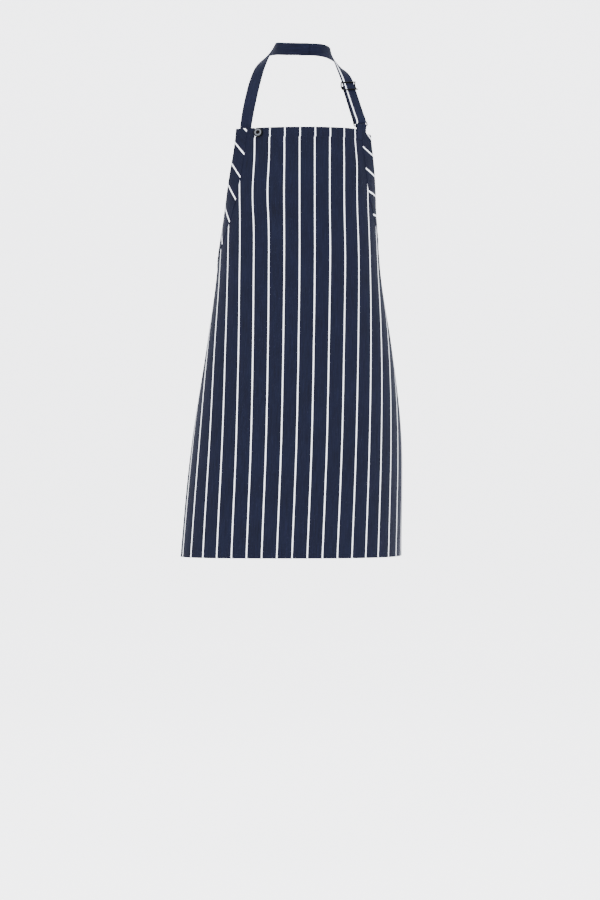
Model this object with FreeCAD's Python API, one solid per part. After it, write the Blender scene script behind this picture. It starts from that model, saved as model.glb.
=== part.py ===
import FreeCAD, Part
import math
import os

# A butcher apron as it hangs on a wearer, in millimetres. The origin is where the neck strap rests on the
# nape, +Z is up and the wearer faces -Y, so the wearer's left is +X.

# The panel, flat on the table.
panelLength = 852.0
panelWidth = 610.0
bibTopWidth = 286.0
armholeDepth = 262.0
armholePower = 1.6  # a higher power keeps the armhole upright for longer
armholeEnd = 0.97  # 1 would bring the armhole in flat at the waist corner

# Cloth and sewing.
clothThick = 0.8
facingThick = 0.7
facingWidth = 22.0
topHemDepth = 21.0
bottomHemDepth = 10.0
sideHemDepth = 10.0
hemThick = 1.1
layerGap = 0.25
tapeGap = 1.1  # flat tape lies this far inside the curved cloth
edgeInset = 0.4  # a folded edge lies this far inside the edge that covers it

# Straps and ties are tape made of the same cloth.
tapeWidth = 25.4
tapeThick = 1.6
tieWidth = 25.0
tieThick = 1.4
tackLength = 22.0
tackWidth = 1.8
tackThick = 0.6

# The hardware on the neck strap.
slideGap = 0.35  # between the slider's bars and the tape that runs through it
sliderBar = 1.35  # radius
sliderReach = 8.5  # from the middle bar to each end bar
sliderSideGap = 1.4
sideBarShare = 1.05  # the slider's side bars are this much thicker than its cross bars
endTapeThick = 0.5 * tapeThick  # the tape's end is pressed thin where it is sewn over itself
endGap = 0.3  # between the middle bar and the tape's end sewn round it
ringWire = 1.15  # radius
ringHeight = 9.6  # between the middles of the ring's two long bars
ringSideGap = 0.8
ringBend = 2.6  # radius of the ring's corners
ringSlack = 1.5  # between the upper bar and the fold of tape round it
tabSlack = 0.4
tabWidth = 22.0
adjustLength = 80.5  # from the ring's upper bar to the slider's middle bar
straightAbove = 16.0  # straight tape above the slider
strapInset = 2.0  # from the bib's corner to the edge of the tape on the wearer's right
napeOverlap = 20.0
napeGap = 0.6
tabAcross = 117.2  # along the cloth from the middle of the bib
tabRise = 7.0  # from the bib's top edge to the ring's lower bar

# The button.
capRadius = 9.25
capHeight = 3.9
capLift = 0.35  # above the cloth
capFloor = 0.9  # under the shank's head
capRound = 1.1  # radius of the cap's top edge
silverProud = 0.15
silverOuter = 7.2
silverInner = 4.4
silverThick = 0.7
insertThick = 0.5
shankRadius = 1.8
headRadius = 3.2
headThick = 0.6
nailRadius = 1.1
nailGap = 0.1
backRadius = 5.0
backThick = 0.9
turnGap = 0.35
backGap = 0.15
buttonAcross = -98.5  # along the cloth from the middle of the bib
buttonDown = 10.5  # below the bib's top edge

# The ties and the bow at the back.
tieBelowCorner = 4.0
tieSewn = 26.0
tackInset = 4.0
knotSize = (30.0, 20.0, 32.0)
knotRound = 6.0
knotGap = 0.1

# How the cloth lies on the wearer, at heights measured down the panel from the bib's top edge. It runs
# straight across the front and turns backwards to each side: it faces sideways at a distance "turn" from
# the middle, and a higher power keeps it flat for longer before it turns.
bibTopHeight = -183.0
drapeDrops = [0.0, armholeDepth / 2, armholeDepth, 430.0, 620.0, 852.0]
middleX = [7.0, 7.0, 7.0, 5.0, 1.0, -8.0]
frontY = [-172.0, -181.0, -177.0, -186.0, -186.0, -181.0]
rightTurn = [330.0, 214.0, 226.0, 247.0, 279.0, 282.0]
rightPower = [1.3, 2.1, 2.2, 2.4, 2.4, 3.2]
leftTurn = [250.0, 195.0, 190.0, 230.0, 272.0, 276.0]
leftPower = [1.15, 1.4, 1.7, 1.65, 1.5, 1.65]
backCurl = 0.5  # past the side the cloth turns at this share of its rate there

os.makedirs("parts", exist_ok=True)
vector = FreeCAD.Vector
up = vector(0, 0, 1)
halfPanel = panelWidth / 2
halfBib = bibTopWidth / 2


def along(knots, values, where):
    """A smooth curve through values, which are numbers or vectors, at rising knots."""
    last = len(knots) - 1
    where = min(max(where, knots[0]), knots[last])
    span = 0
    while span < last - 1 and where > knots[span + 1]:
        span += 1

    def slope(index):
        first = max(index - 1, 0)
        second = min(index + 1, last)
        if first == index or second == index:
            return (values[second] - values[first]) * (1.0 / (knots[second] - knots[first]))
        before = (values[index] - values[first]) * (1.0 / (knots[index] - knots[first]))
        after = (values[second] - values[index]) * (1.0 / (knots[second] - knots[index]))
        share = (knots[index] - knots[first]) / (knots[second] - knots[first])
        return before * (1 - share) + after * share

    width = knots[span + 1] - knots[span]
    part = (where - knots[span]) / width
    rest = 1 - part
    return (
        values[span] * (rest * rest * (1 + 2 * part))
        + slope(span) * (rest * rest * part * width)
        + values[span + 1] * (part * part * (3 - 2 * part))
        - slope(span + 1) * (part * part * rest * width)
    )


def clothPoint(across, down, lift):
    """The place of a point of the flat panel, and the way the cloth faces there."""
    side = -1 if across < 0 else 1
    distance = abs(across)
    turn = along(drapeDrops, rightTurn if side < 0 else leftTurn, down)
    power = along(drapeDrops, rightPower if side < 0 else leftPower, down)

    def facing(reach):
        if reach < turn:
            return math.pi / 2 * (reach / turn) ** power
        return math.pi / 2 * (1 + backCurl * power * (reach - turn) / turn)

    steps = 40
    step = distance / steps
    x = 0.0
    y = 0.0
    for index in range(steps):
        angle = facing((index + 0.5) * step)
        x += math.cos(angle) * step
        y += math.sin(angle) * step
    angle = facing(distance)
    outward = vector(side * math.sin(angle), -math.cos(angle), 0)
    height = bibTopHeight - down
    spot = vector(along(drapeDrops, middleX, down) + side * x, along(drapeDrops, frontY, down) + y, height)
    return spot + outward * lift, outward


def clothNormal(across, down):
    """The way the cloth really faces, with its slope down the body counted in."""
    reach = 4.0
    sideways = clothPoint(across + reach, down, 0.0)[0] - clothPoint(across - reach, down, 0.0)[0]
    downward = clothPoint(across, down + reach, 0.0)[0] - clothPoint(across, down - reach, 0.0)[0]
    normal = downward.cross(sideways)
    normal.normalize()
    return normal


def halfWidthAt(down):
    """Half the panel's width: the armhole curve, then the straight sides."""
    if down >= armholeDepth:
        return halfPanel
    ending = math.sqrt(1 - armholeEnd)
    share = math.sqrt(1 - armholeEnd * (max(down, 0) / armholeDepth) ** armholePower)
    return halfPanel - (halfPanel - halfBib) * (share - ending) / (1 - ending)


def spline(points, knots):
    curve = Part.BSplineCurve()
    curve.interpolate(Points=points, Parameters=knots)
    return curve


def chords(points):
    knots = [0.0]
    for first, second in zip(points, points[1:]):
        knots.append(knots[-1] + (second - first).Length)
    return knots


def patchThrough(grid, rowKnots, columnKnots):
    """A smooth surface through a grid of points, whose edges depend only on the points along them."""
    acrossCurves = [spline(row, columnKnots) for row in grid]
    across = acrossCurves[0]
    lines = zip(*[curve.getPoles() for curve in acrossCurves])
    downCurves = [spline(list(line), rowKnots) for line in lines]
    down = downCurves[0]
    poles = [list(row) for row in zip(*[curve.getPoles() for curve in downCurves])]
    patch = Part.BSplineSurface()
    patch.buildFromPolesMultsKnots(poles, down.getMultiplicities(), across.getMultiplicities(),
                                   down.getKnots(), across.getKnots(), False, False,
                                   down.Degree, across.Degree)
    return patch


def rim(patch, side):
    """One edge of a patch: its first or last row, or its first or last column."""
    low, high, left, right = patch.bounds()
    if side == "first row":
        return patch.uIso(low)
    if side == "last row":
        return patch.uIso(high)
    if side == "first column":
        return patch.vIso(left)
    return patch.vIso(right)


def wall(outer, inner):
    """The ruled face between the same edge of two patches."""
    patch = Part.BSplineSurface()
    patch.buildFromPolesMultsKnots([outer.getPoles(), inner.getPoles()], [2, 2], outer.getMultiplicities(),
                                   [0, 1], outer.getKnots(), False, False, 1, outer.Degree)
    return patch


def thickSheet(grids, openRims):
    """A closed solid between two faces, each made of patches, with walls along the open rims."""
    faces = []
    columnKnots = chords(grids[0][0][0])
    for outerGrid, innerGrid, sides in zip(grids[0], grids[1], openRims):
        rowKnots = chords([row[len(row) // 2] for row in outerGrid])
        outer = patchThrough(outerGrid, rowKnots, columnKnots)
        inner = patchThrough(innerGrid, rowKnots, columnKnots)
        faces += [outer.toShape(), inner.toShape()]
        for side in sides:
            faces.append(wall(rim(outer, side), rim(inner, side)).toShape())
    shell = Part.makeShell(faces)
    shell.sewShape()
    solid = Part.makeSolid(Part.Shell(shell.Faces))
    if solid.Volume < 0:
        solid.reverse()
    return solid


allRims = ["first row", "last row", "first column", "last column"]


def spread(first, last, count):
    return [first + (last - first) * index / (count - 1) for index in range(count)]


def clothSheet(place, rows, columns, low, high):
    """A sheet on the cloth: place gives a point of the flat panel from a row and a column."""
    grids = []
    for lift in (high, low):
        grid = [[clothPoint(*place(row, column), lift)[0] for column in columns] for row in rows]
        grids.append([grid])
    return thickSheet(grids, [allRims])


def frames(points, faces, steps):
    """Places along a tape's middle with the directions along, across and out of it."""
    knots = [0.0]
    for first, second in zip(points, points[1:]):
        knots.append(knots[-1] + (second - first).Length)
    wheres = []
    for first, second in zip(knots, knots[1:]):
        wheres += [first + (second - first) * index / steps for index in range(steps)]
    wheres.append(knots[-1])
    spots = [along(knots, points, where) for where in wheres]
    result = []
    for index, spot in enumerate(spots):
        ahead = spots[min(index + 1, len(spots) - 1)] - spots[max(index - 1, 0)]
        ahead.normalize()
        face = along(knots, faces, wheres[index])
        side = ahead.cross(face)
        side.normalize()
        result.append((spot, ahead, side, side.cross(ahead)))
    return result


def tape(points, faces, width, thick, steps=3):
    """A flat tape along points, which faces the way each point says."""
    rows = frames(points, faces, steps)
    columns = spread(-width / 2, width / 2, 4)
    grids = []
    for lift in (thick / 2, -thick / 2):
        grids.append([[[spot + side * column + face * lift for column in columns]
                       for spot, _, side, face in rows]])
    return thickSheet(grids, [allRims])


def lengthOf(points, faces, steps=3):
    rows = frames(points, faces, steps)
    return sum((second[0] - first[0]).Length for first, second in zip(rows, rows[1:]))


def rod(start, end, radius):
    return Part.makeCylinder(radius, (end - start).Length, start, end - start)


def save(name, solids):
    shape = solids[0] if len(solids) == 1 else Part.makeCompound(solids)
    shape.exportStep("parts/" + name + ".step")
    print(name, len(solids), [round(solid.Volume, 1) for solid in solids], shape.isValid())


# Levels through the layers, measured out of the cloth's inner face.
facingLow = clothThick + layerGap
facingHigh = facingLow + facingThick
hemHigh = -layerGap
hemLow = hemHigh - hemThick
firstTape = hemLow - tapeGap - tapeThick / 2
secondTape = firstTape - layerGap - tapeThick


def bodyPanel():
    columns = spread(-1, 1, 61)
    bibDrops = [armholeDepth * math.sin(math.pi / 2 * step / 16) for step in range(17)]
    skirtDrops = spread(armholeDepth, panelLength, 15)
    grids = []
    for lift in (clothThick, 0.0):
        pair = []
        for drops in (bibDrops, skirtDrops):
            pair.append([[clothPoint(column * halfWidthAt(down), down, lift)[0] for column in columns]
                         for down in drops])
        grids.append(pair)
    bibRims = ["first row", "first column", "last column"]
    skirtRims = ["last row", "first column", "last column"]
    return thickSheet(grids, [bibRims, skirtRims])


def topHem():
    def place(down, share):
        return share * (halfWidthAt(down) - edgeInset), down

    return clothSheet(place, spread(edgeInset, topHemDepth, 4), spread(-1, 1, 31), hemLow, hemHigh)


def bottomHem():
    reach = halfPanel - sideHemDepth - edgeInset
    drops = spread(panelLength - bottomHemDepth, panelLength - edgeInset, 4)
    columns = spread(-reach, reach, 59)
    return clothSheet(lambda down, across: (across, down), drops, columns, hemLow, hemHigh)


def sideHem(side):
    drops = spread(armholeDepth + edgeInset, panelLength - edgeInset, 15)
    columns = spread(halfPanel - sideHemDepth, halfPanel - edgeInset, 4)
    if side < 0:
        columns = [-column for column in reversed(columns)]
    return clothSheet(lambda down, across: (across, down), drops, columns, hemLow, hemHigh)


def armholeEdge(share):
    """A point of the armhole's edge in the flat panel and the way into the panel from it."""
    down = armholeDepth * math.sin(math.pi / 2 * share)
    step = 0.5
    before = max(down - step, 0)
    after = min(down + step, armholeDepth)
    rise = (halfWidthAt(after) - halfWidthAt(before)) / (after - before)
    size = math.hypot(1, rise)
    return halfWidthAt(down), down, -1 / size, rise / size


def armholeFacing(side):
    def place(share, depth):
        across, down, inAcross, inDown = armholeEdge(share)
        return side * (across + inAcross * depth), down + inDown * depth

    depths = spread(0.0, facingWidth, 5)
    return clothSheet(place, spread(0.0, 1.0, 33), depths, facingLow, facingHigh)


# The tape on the wearer's right: sewn inside the bib's corner, then over the shoulder to the nape.
strapAcross = halfBib - strapInset - tapeWidth / 2
napeMiddle = vector(0, tapeThick / 2, 0)


def rightStrap():
    points = []
    faces = []
    for down in (topHemDepth, topHemDepth / 2, 0.0):
        spot, outward = clothPoint(-strapAcross, down, firstTape)
        points.append(spot)
        faces.append(outward)
    corner = points[-1]
    for x, y, z, face in (
        (3.5, 3.0, 26.0, (-0.33, -0.90, 0.25)),
        (11.0, 15.0, 66.0, (-0.27, -0.85, 0.45)),
        (18.0, 28.0, 97.0, (-0.28, -0.74, 0.60)),
        (28.5, 44.0, 130.0, (-0.42, -0.52, 0.74)),
        (40.5, 61.0, 152.0, (-0.66, -0.25, 0.70)),
        (51.5, 79.0, 168.0, (-0.86, 0.02, 0.50)),
    ):
        points.append(corner + vector(x, y, z))
        faces.append(vector(*face))
    points += [vector(-56, -38, -6), vector(-36, -14, -2), vector(-15, -1.8, 0) + napeMiddle]
    faces += [vector(-0.82, 0.52, 0.22), vector(-0.55, 0.83, 0.08), vector(-0.18, 0.98, 0)]
    points.append(napeMiddle + vector(napeOverlap / 2, 0, 0))
    faces.append(vector(0, 1, 0))
    return points, faces


# The adjusting stretch on the wearer's left is straight. Its directions are down the tape, out of it and
# across it.
downTape = vector(0.275, -0.3375, -0.9)
downTape.normalize()
outTape = vector(0.37, -0.88, 0.44)
outTape = outTape - downTape * outTape.dot(downTape)
outTape.normalize()
acrossTape = downTape.cross(outTape)

tabFold = ringWire + tabSlack + tapeThick / 2
lowerBar = clothPoint(tabAcross, -tabRise, firstTape - tabFold)[0]
upperBar = lowerBar - downTape * ringHeight
foldRadius = ringWire + ringSlack + tapeThick / 2
foldTop = upperBar + outTape * foldRadius
sliderMiddle = foldTop - downTape * adjustLength
barLevel = tapeThick / 2 + slideGap + sliderBar  # from the tape's middle to a bar's middle
endFold = sliderBar + endGap + tapeThick / 2
endLevel = barLevel + endFold


def leftStrap():
    shoulder = sliderMiddle - downTape * straightAbove
    points = [napeMiddle + vector(-napeOverlap / 2, tapeThick + napeGap, 0)]
    faces = [vector(0, 1, 0), vector(0, 1, 0)]
    points.append(points[0] + vector(napeOverlap * 0.6, 0, 0))
    points += [vector(16, 2.0, -0.3), vector(34, -10.5, -4), vector(51.5, -38, -15), vector(60.8, -66, -33)]
    faces += [vector(0.15, 0.98, 0), vector(0.55, 0.83, 0.08), vector(0.84, 0.46, 0.26)]
    faces.append(vector(0.80, -0.02, 0.60))
    points += [vector(68.8, -80.5, -48), vector(78.4, -92.4, -64.0)]
    faces += [vector(0.76, -0.36, 0.54), vector(0.54, -0.70, 0.47)]
    for reach in spread(0.0, straightAbove + adjustLength, 7):
        points.append(shoulder + downTape * reach)
        faces.append(outTape)
    for turn in spread(30, 180, 6):
        angle = math.radians(turn)
        reach = outTape * math.cos(angle) + downTape * math.sin(angle)
        points.append(upperBar + reach * foldRadius)
        faces.append(reach)
    points.append(points[-1] - downTape * 6)
    faces.append(-outTape)
    return points, faces


def strapReturn():
    start = leftStrap()[0][-1]
    end = sliderMiddle - outTape * endLevel + downTape * (sliderReach + 1.0)
    points = [start - downTape * 0.3]
    length = (end - start).dot(downTape * -1)
    for share in (0.25, 0.5, 0.75, 1.0):
        ease = share * share * (3 - 2 * share)
        rise = (end - start).dot(outTape) * ease
        points.append(start - downTape * (length * share) + outTape * rise)
    return points, [-outTape for _ in points]


def strapEnd():
    """The tape's end: one layer under the slider's middle bar, and a fold round it."""
    bar = sliderMiddle - outTape * barLevel
    points = [bar - outTape * endFold + downTape * (sliderReach + 0.7)]
    points.append(bar - outTape * endFold + downTape * 4.0)
    faces = [-outTape, -outTape]
    for turn in spread(0, 100, 5):
        angle = math.radians(turn)
        reach = -outTape * math.cos(angle) - downTape * math.sin(angle)
        points.append(bar + reach * endFold)
        faces.append(reach)
    return tape(points, faces, tapeWidth, endTapeThick, 2)


def slider():
    side = tapeWidth / 2 + sliderSideGap + sliderBar
    sideBar = sliderBar * sideBarShare
    endBars = [sliderMiddle + outTape * barLevel + downTape * reach for reach in (-sliderReach, sliderReach)]
    middleBar = sliderMiddle - outTape * barLevel
    solid = None
    for middle in endBars + [middleBar]:
        bar = rod(middle - acrossTape * side, middle + acrossTape * side, sliderBar)
        solid = bar if solid is None else solid.fuse(bar)
    for direction in (-1, 1):
        offset = acrossTape * (side * direction)
        bow = Part.Arc(endBars[0] + offset, middleBar + offset, endBars[1] + offset)
        path = Part.Wire([bow.toShape()])
        start = bow.tangent(bow.FirstParameter)[0]
        section = Part.Wire([Part.Circle(endBars[0] + offset, start, sideBar).toShape()])
        solid = solid.fuse(path.makePipeShell([section], True, False))
        for middle in endBars:
            solid = solid.fuse(Part.makeSphere(sideBar, middle + offset))
    return solid.removeSplitter()


def ring():
    side = tapeWidth / 2 + ringSideGap + ringWire
    downward = downTape * (ringHeight / 2)
    middle = (upperBar + lowerBar) * 0.5
    corners = [(-1, -1), (1, -1), (1, 1), (-1, 1)]
    edges = []
    spots = [middle + acrossTape * (side * a) + downward * b for a, b in corners]
    for index in range(4):
        here = spots[index]
        following = spots[(index + 1) % 4]
        after = spots[(index + 2) % 4]
        run = following - here
        run.normalize()
        exit = after - following
        exit.normalize()
        edges.append(Part.LineSegment(here + run * ringBend, following - run * ringBend).toShape())
        halfway = following - (run - exit) * (ringBend * (1 - math.sqrt(0.5)))
        edges.append(Part.Arc(following - run * ringBend, halfway, following + exit * ringBend).toShape())
    path = Part.Wire(edges)
    first = spots[1] - spots[0]
    section = Part.Wire([Part.Circle(spots[0] + first * 0.5, first, ringWire).toShape()])
    straight = Part.LineSegment(spots[0] + first * 0.5, edges[0].Vertexes[1].Point).toShape()
    closing = Part.LineSegment(edges[0].Vertexes[0].Point, spots[0] + first * 0.5).toShape()
    path = Part.Wire([straight] + edges[1:] + [closing])
    return path.makePipeShell([section], True, False)


def ringTab():
    """The tab's two legs lie inside the bib, and its fold goes round the ring's lower bar."""
    points = []
    faces = []
    for down in (topHemDepth, topHemDepth / 2, 1.0):
        spot, outward = clothPoint(tabAcross, down, firstTape)
        points.append(spot)
        faces.append(outward)
    for turn in spread(0, 180, 7):
        angle = math.radians(turn)
        reach = outTape * math.cos(angle) - downTape * math.sin(angle)
        points.append(lowerBar + reach * tabFold)
        faces.append(reach)
    spot, outward = clothPoint(tabAcross, 1.0, secondTape)
    points.append(spot)
    faces.append(-outward)
    for down in (topHemDepth / 2, topHemDepth):
        spot, outward = clothPoint(tabAcross, down, secondTape)
        points.append(spot)
        faces.append(-outward)
    return tape(points, faces, tabWidth, tapeThick, 2)


# The button's own axis is the way the cloth faces under it.
buttonSeat = clothPoint(buttonAcross, buttonDown, 0.0)[0]
buttonAxis = clothNormal(buttonAcross, buttonDown)


def onButton(level):
    return buttonSeat + buttonAxis * level


def disc(low, high, radius):
    return rod(onButton(low), onButton(high), radius)


capBase = clothThick + capLift
neckTop = capBase + capFloor + turnGap
capTop = capBase + capHeight


def buttonCap():
    body = disc(capBase, capTop, capRadius)
    edges = [edge for edge in body.Edges if edge.Closed and edge.Curve.TypeId == "Part::GeomCircle"]
    topEdge = [edge for edge in edges if (edge.CenterOfMass - onButton(capTop)).Length < 1]
    body = body.makeFillet(capRound, topEdge)
    body = body.cut(disc(capBase - 1, neckTop, shankRadius + turnGap))
    body = body.cut(disc(neckTop - turnGap, neckTop + headThick + turnGap, headRadius + turnGap))
    return body.cut(disc(capTop - silverThick, capTop + 1, silverOuter))


def buttonSilver():
    plate = disc(capTop - silverThick, capTop + silverProud, silverOuter)
    return plate.cut(disc(capBase, capTop + 1, silverInner))


def buttonInsert():
    return disc(capTop - silverThick, capTop - silverThick + insertThick, silverInner)


def buttonShank():
    shank = disc(clothThick + 0.02, neckTop + 0.01, shankRadius)
    return shank.fuse(disc(neckTop, neckTop + headThick, headRadius)).removeSplitter()


def buttonTack():
    seat = hemLow - backGap
    nail = disc(seat, clothThick, nailRadius)
    return nail.fuse(disc(seat - backThick, seat, backRadius)).removeSplitter()


nailHole = disc(hemLow - 3, clothThick + 3, nailRadius + nailGap)

# The ties come from the waist corners, meet in a knot at the back and are tied in a bow.
tieDown = armholeDepth + tieBelowCorner + tieWidth / 2
knotMiddle = vector(-6, 62, bibTopHeight - tieDown + 3)
knotSide = knotSize[0] / 2


def tieRun(side):
    points = []
    faces = []
    for reach in (tieSewn, tieSewn / 2, 0.0, -6.0):
        normal = clothNormal(side * (halfPanel - reach), tieDown)
        spot = clothPoint(side * (halfPanel - reach), tieDown, 0.0)[0]
        points.append(spot + normal * firstTape)
        faces.append(normal)
    end = knotMiddle + vector(side * knotSide, -4, 0)
    start = points[-1]
    heading = faces[-1].cross(up) * -side
    distance = (end - start).Length
    pull = start + heading * (distance * 0.45)
    lead = end + vector(side * distance * 0.35, 0, 0)
    for share in (0.25, 0.5, 0.75, 1.0):
        rest = 1 - share
        spot = start * rest ** 3 + pull * (3 * share * rest ** 2)
        spot += lead * (3 * share ** 2 * rest) + end * share ** 3
        points.append(spot)
        forward = (pull - start) * rest ** 2 + (lead - pull) * (2 * share * rest) + (end - lead) * share ** 2
        face = up.cross(forward) * side
        face.normalize()
        faces.append(-face if face.dot(faces[-1]) < 0 else face)
    return points, faces


def bowLoop(side):
    reach = side * (105 if side < 0 else 96)
    droop = -30 if side < 0 else -36
    path = [
        (side * knotSide, 1, 4), (reach * 0.4, 0, 6), (reach * 0.72, 0, -2), (reach * 0.93, 3, -12),
        (reach, 11, droop + 10), (reach * 0.92, 19, droop + 8), (reach * 0.68, 19, droop + 12),
        (reach * 0.4, 13, droop + 20), (side * knotSide, 7, -3),
    ]
    points = [knotMiddle + vector(*spot) for spot in path]
    faces = []
    for index in range(len(points)):
        ahead = points[min(index + 1, len(points) - 1)] - points[max(index - 1, 0)]
        face = up.cross(ahead) * side
        face.normalize()
        faces.append(face)
    return points, faces


def tieTail(side):
    lean = -26 if side < 0 else 20
    length = 300 if side < 0 else 272
    depth = 5 if side < 0 else -4
    path = [(side * 4, depth, -12), (side * 6 + lean * 0.1, depth, -34)]
    path.append((side * 9 + lean * 0.3, depth + 1, -64))
    for share in (0.4, 0.6, 0.8, 1.0):
        path.append((side * 12 + lean * share, depth + 2 - 4 * share, -length * share))
    points = [knotMiddle + vector(*spot) for spot in path]
    faces = [vector(side * 0.12, 1, 0.1)] + [vector(side * 0.15, 1, 0) for _ in points[1:]]
    return points, faces


def knot(gap):
    width, depth, height = [size + 2 * gap for size in knotSize]
    body = Part.makeBox(width, depth, height, knotMiddle - vector(width, depth, height) * 0.5)
    return body.makeFillet(knotRound, body.Edges)


def tieSolids(side):
    solids = []
    for points, faces in (tieRun(side), bowLoop(side), tieTail(side)):
        solids.append(tape(points, faces, tieWidth, tieThick))
    block = knot(knotGap)
    return [solid.cut(block).Solids[0] for solid in solids]


def barTack(middle, outward, sideways):
    """A short thick row of thread that lies on the cloth."""
    upward = outward.cross(sideways)
    corner = middle - sideways * (tackLength / 2) - upward * (tackWidth / 2)
    corners = [corner, corner + sideways * tackLength, corner + sideways * tackLength + upward * tackWidth,
               corner + upward * tackWidth, corner]
    return Part.Face(Part.makePolygon(corners)).extrude(outward * tackThick)


def barTacks():
    solids = []
    for side in (-1, 1):
        for reach in (tackInset, tieSewn - tackInset):
            normal = clothNormal(side * (halfPanel - reach), tieDown)
            spot = clothPoint(side * (halfPanel - reach), tieDown, 0.0)[0]
            seat = spot + normal * (firstTape - tieThick / 2 - layerGap)
            solids.append(barTack(seat, -normal, normal.cross(up.cross(normal))))
    seam = napeMiddle + vector(0, tapeThick * 1.5 + napeGap + 2 * layerGap, 0)
    for x in (-7.0, 1.0):
        solids.append(barTack(seam + vector(x, 0, 0), vector(0, 1, 0), up))
    return solids


save("body_panel", [bodyPanel().cut(nailHole)])
save("bib_top_hem", [topHem().cut(nailHole)])
save("bottom_hem", [bottomHem()])
save("side_hem_right", [sideHem(-1)])
save("side_hem_left", [sideHem(1)])
save("armhole_facing_right", [armholeFacing(-1)])
save("armhole_facing_left", [armholeFacing(1)])
save("neck_strap_right", [tape(*rightStrap(), tapeWidth, tapeThick)])
save("neck_strap_left", [tape(*leftStrap(), tapeWidth, tapeThick)])
save("strap_return", [tape(*strapReturn(), tapeWidth, endTapeThick)])
save("strap_end", [strapEnd()])
save("slider", [slider()])
save("ring", [ring()])
save("ring_tab", [ringTab()])
save("button_cap", [buttonCap()])
save("button_silver_ring", [buttonSilver()])
save("button_insert", [buttonInsert()])
save("button_shank", [buttonShank()])
save("button_tack", [buttonTack()])
save("waist_tie_right", tieSolids(-1))
save("waist_tie_left", tieSolids(1))
save("bow_knot", [knot(0.0)])
save("bar_tacks", barTacks())
print("right strap", round(lengthOf(*rightStrap())), "left strap", round(lengthOf(*leftStrap())))
for name, side in (("right", -1), ("left", 1)):
    print(name, "tie", [round(lengthOf(*route)) for route in (tieRun(side), bowLoop(side), tieTail(side))])
print("slider middle", sliderMiddle, "ring upper bar", upperBar, "lower bar", lowerBar)
print("down the tape", downTape, "across it", acrossTape, "out of it", outTape)
print("button seat", buttonSeat, "axis", buttonAxis)
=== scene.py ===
import math

import bpy
import bmesh
import numpy as np
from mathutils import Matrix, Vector, noise


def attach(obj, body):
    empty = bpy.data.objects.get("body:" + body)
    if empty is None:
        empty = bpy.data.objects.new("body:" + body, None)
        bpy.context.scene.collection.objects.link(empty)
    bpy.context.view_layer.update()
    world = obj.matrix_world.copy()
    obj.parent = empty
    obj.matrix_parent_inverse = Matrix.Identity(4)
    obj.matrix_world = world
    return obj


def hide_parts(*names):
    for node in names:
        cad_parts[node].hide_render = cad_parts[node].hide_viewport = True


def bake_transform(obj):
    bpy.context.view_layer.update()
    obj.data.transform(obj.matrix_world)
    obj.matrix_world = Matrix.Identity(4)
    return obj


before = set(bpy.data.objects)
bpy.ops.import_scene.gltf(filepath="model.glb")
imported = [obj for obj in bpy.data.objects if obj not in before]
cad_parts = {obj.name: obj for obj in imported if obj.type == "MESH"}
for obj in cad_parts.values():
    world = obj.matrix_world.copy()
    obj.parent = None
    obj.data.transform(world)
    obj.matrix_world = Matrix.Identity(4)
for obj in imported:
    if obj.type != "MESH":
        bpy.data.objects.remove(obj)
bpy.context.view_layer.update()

scene = bpy.context.scene
mm = 0.001
up = Vector((0, 0, 1))

# the view: level, straight on, far enough away that the apron hardly narrows
view = {"place": (-0.0082, -4.68, -0.8210), "lens": 91.4, "floor": -1.66}

eye = bpy.data.objects.new("frontView", bpy.data.cameras.new("frontView"))
eye.data.lens = view["lens"]
eye.data.sensor_width = 36
eye.data.clip_end = 50
eye.location = view["place"]
eye.rotation_euler = (math.pi / 2, 0, 0)
scene.collection.objects.link(eye)
scene.camera = eye

# the flat cut of the apron, in metres
cut = {
    "length": 0.852,
    "width": 0.610,
    "bibTop": 0.286,
    "armholeDepth": 0.262,
    "armholePower": 1.6,
    "armholeEnd": 0.97,
    "tieDown": 0.2785,
    "flatArea": 0.455,
}

# how it lies on the wearer, at heights down from the bib's top edge
drape = {
    "topHeight": -0.183,
    "downs": (0.0, 0.131, 0.262, 0.430, 0.620, 0.852),
    "middleX": (0.007, 0.007, 0.007, 0.005, 0.001, -0.008),
    "frontY": (-0.172, -0.181, -0.177, -0.186, -0.186, -0.181),
    "rightTurn": (0.330, 0.214, 0.226, 0.247, 0.279, 0.282),
    "rightPower": (1.3, 2.1, 2.2, 2.4, 2.4, 3.2),
    "leftTurn": (0.250, 0.195, 0.190, 0.230, 0.272, 0.276),
    "leftPower": (1.15, 1.4, 1.7, 1.65, 1.5, 1.65),
    "backCurl": 0.5,
}

# heights through the layers, out of the panel's inner face
layers = {
    "cloth": 0.8 * mm,
    "facingLow": 1.0 * mm,
    "facingHigh": 1.75 * mm,
    "hemLow": -1.3 * mm,
    "hemHigh": -0.15 * mm,
    "firstTape": -3.25 * mm,
    "secondTape": -5.1 * mm,
    "trim": 1.0 * mm,
}


def along(knots, values, where):
    # a smooth curve through values, the same one that the frame's parts follow
    last = len(knots) - 1
    where = min(max(where, knots[0]), knots[last])
    span = 0
    while span < last - 1 and where > knots[span + 1]:
        span += 1

    def slope(index):
        first, second = max(index - 1, 0), min(index + 1, last)
        if first == index or second == index:
            return (values[second] - values[first]) * (1 / (knots[second] - knots[first]))
        before = (values[index] - values[first]) * (1 / (knots[index] - knots[first]))
        after = (values[second] - values[index]) * (1 / (knots[second] - knots[index]))
        share = (knots[index] - knots[first]) / (knots[second] - knots[first])
        return before * (1 - share) + after * share

    width = knots[span + 1] - knots[span]
    part = (where - knots[span]) / width
    rest = 1 - part
    return (values[span] * (rest * rest * (1 + 2 * part))
            + slope(span) * (rest * rest * part * width)
            + values[span + 1] * (part * part * (3 - 2 * part))
            - slope(span + 1) * (part * part * rest * width))


def spread(first, last, count):
    return [first + (last - first) * index / (count - 1) for index in range(count)]


def ease(share):
    share = min(max(share, 0.0), 1.0)
    return share * share * (3 - 2 * share)


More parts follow.
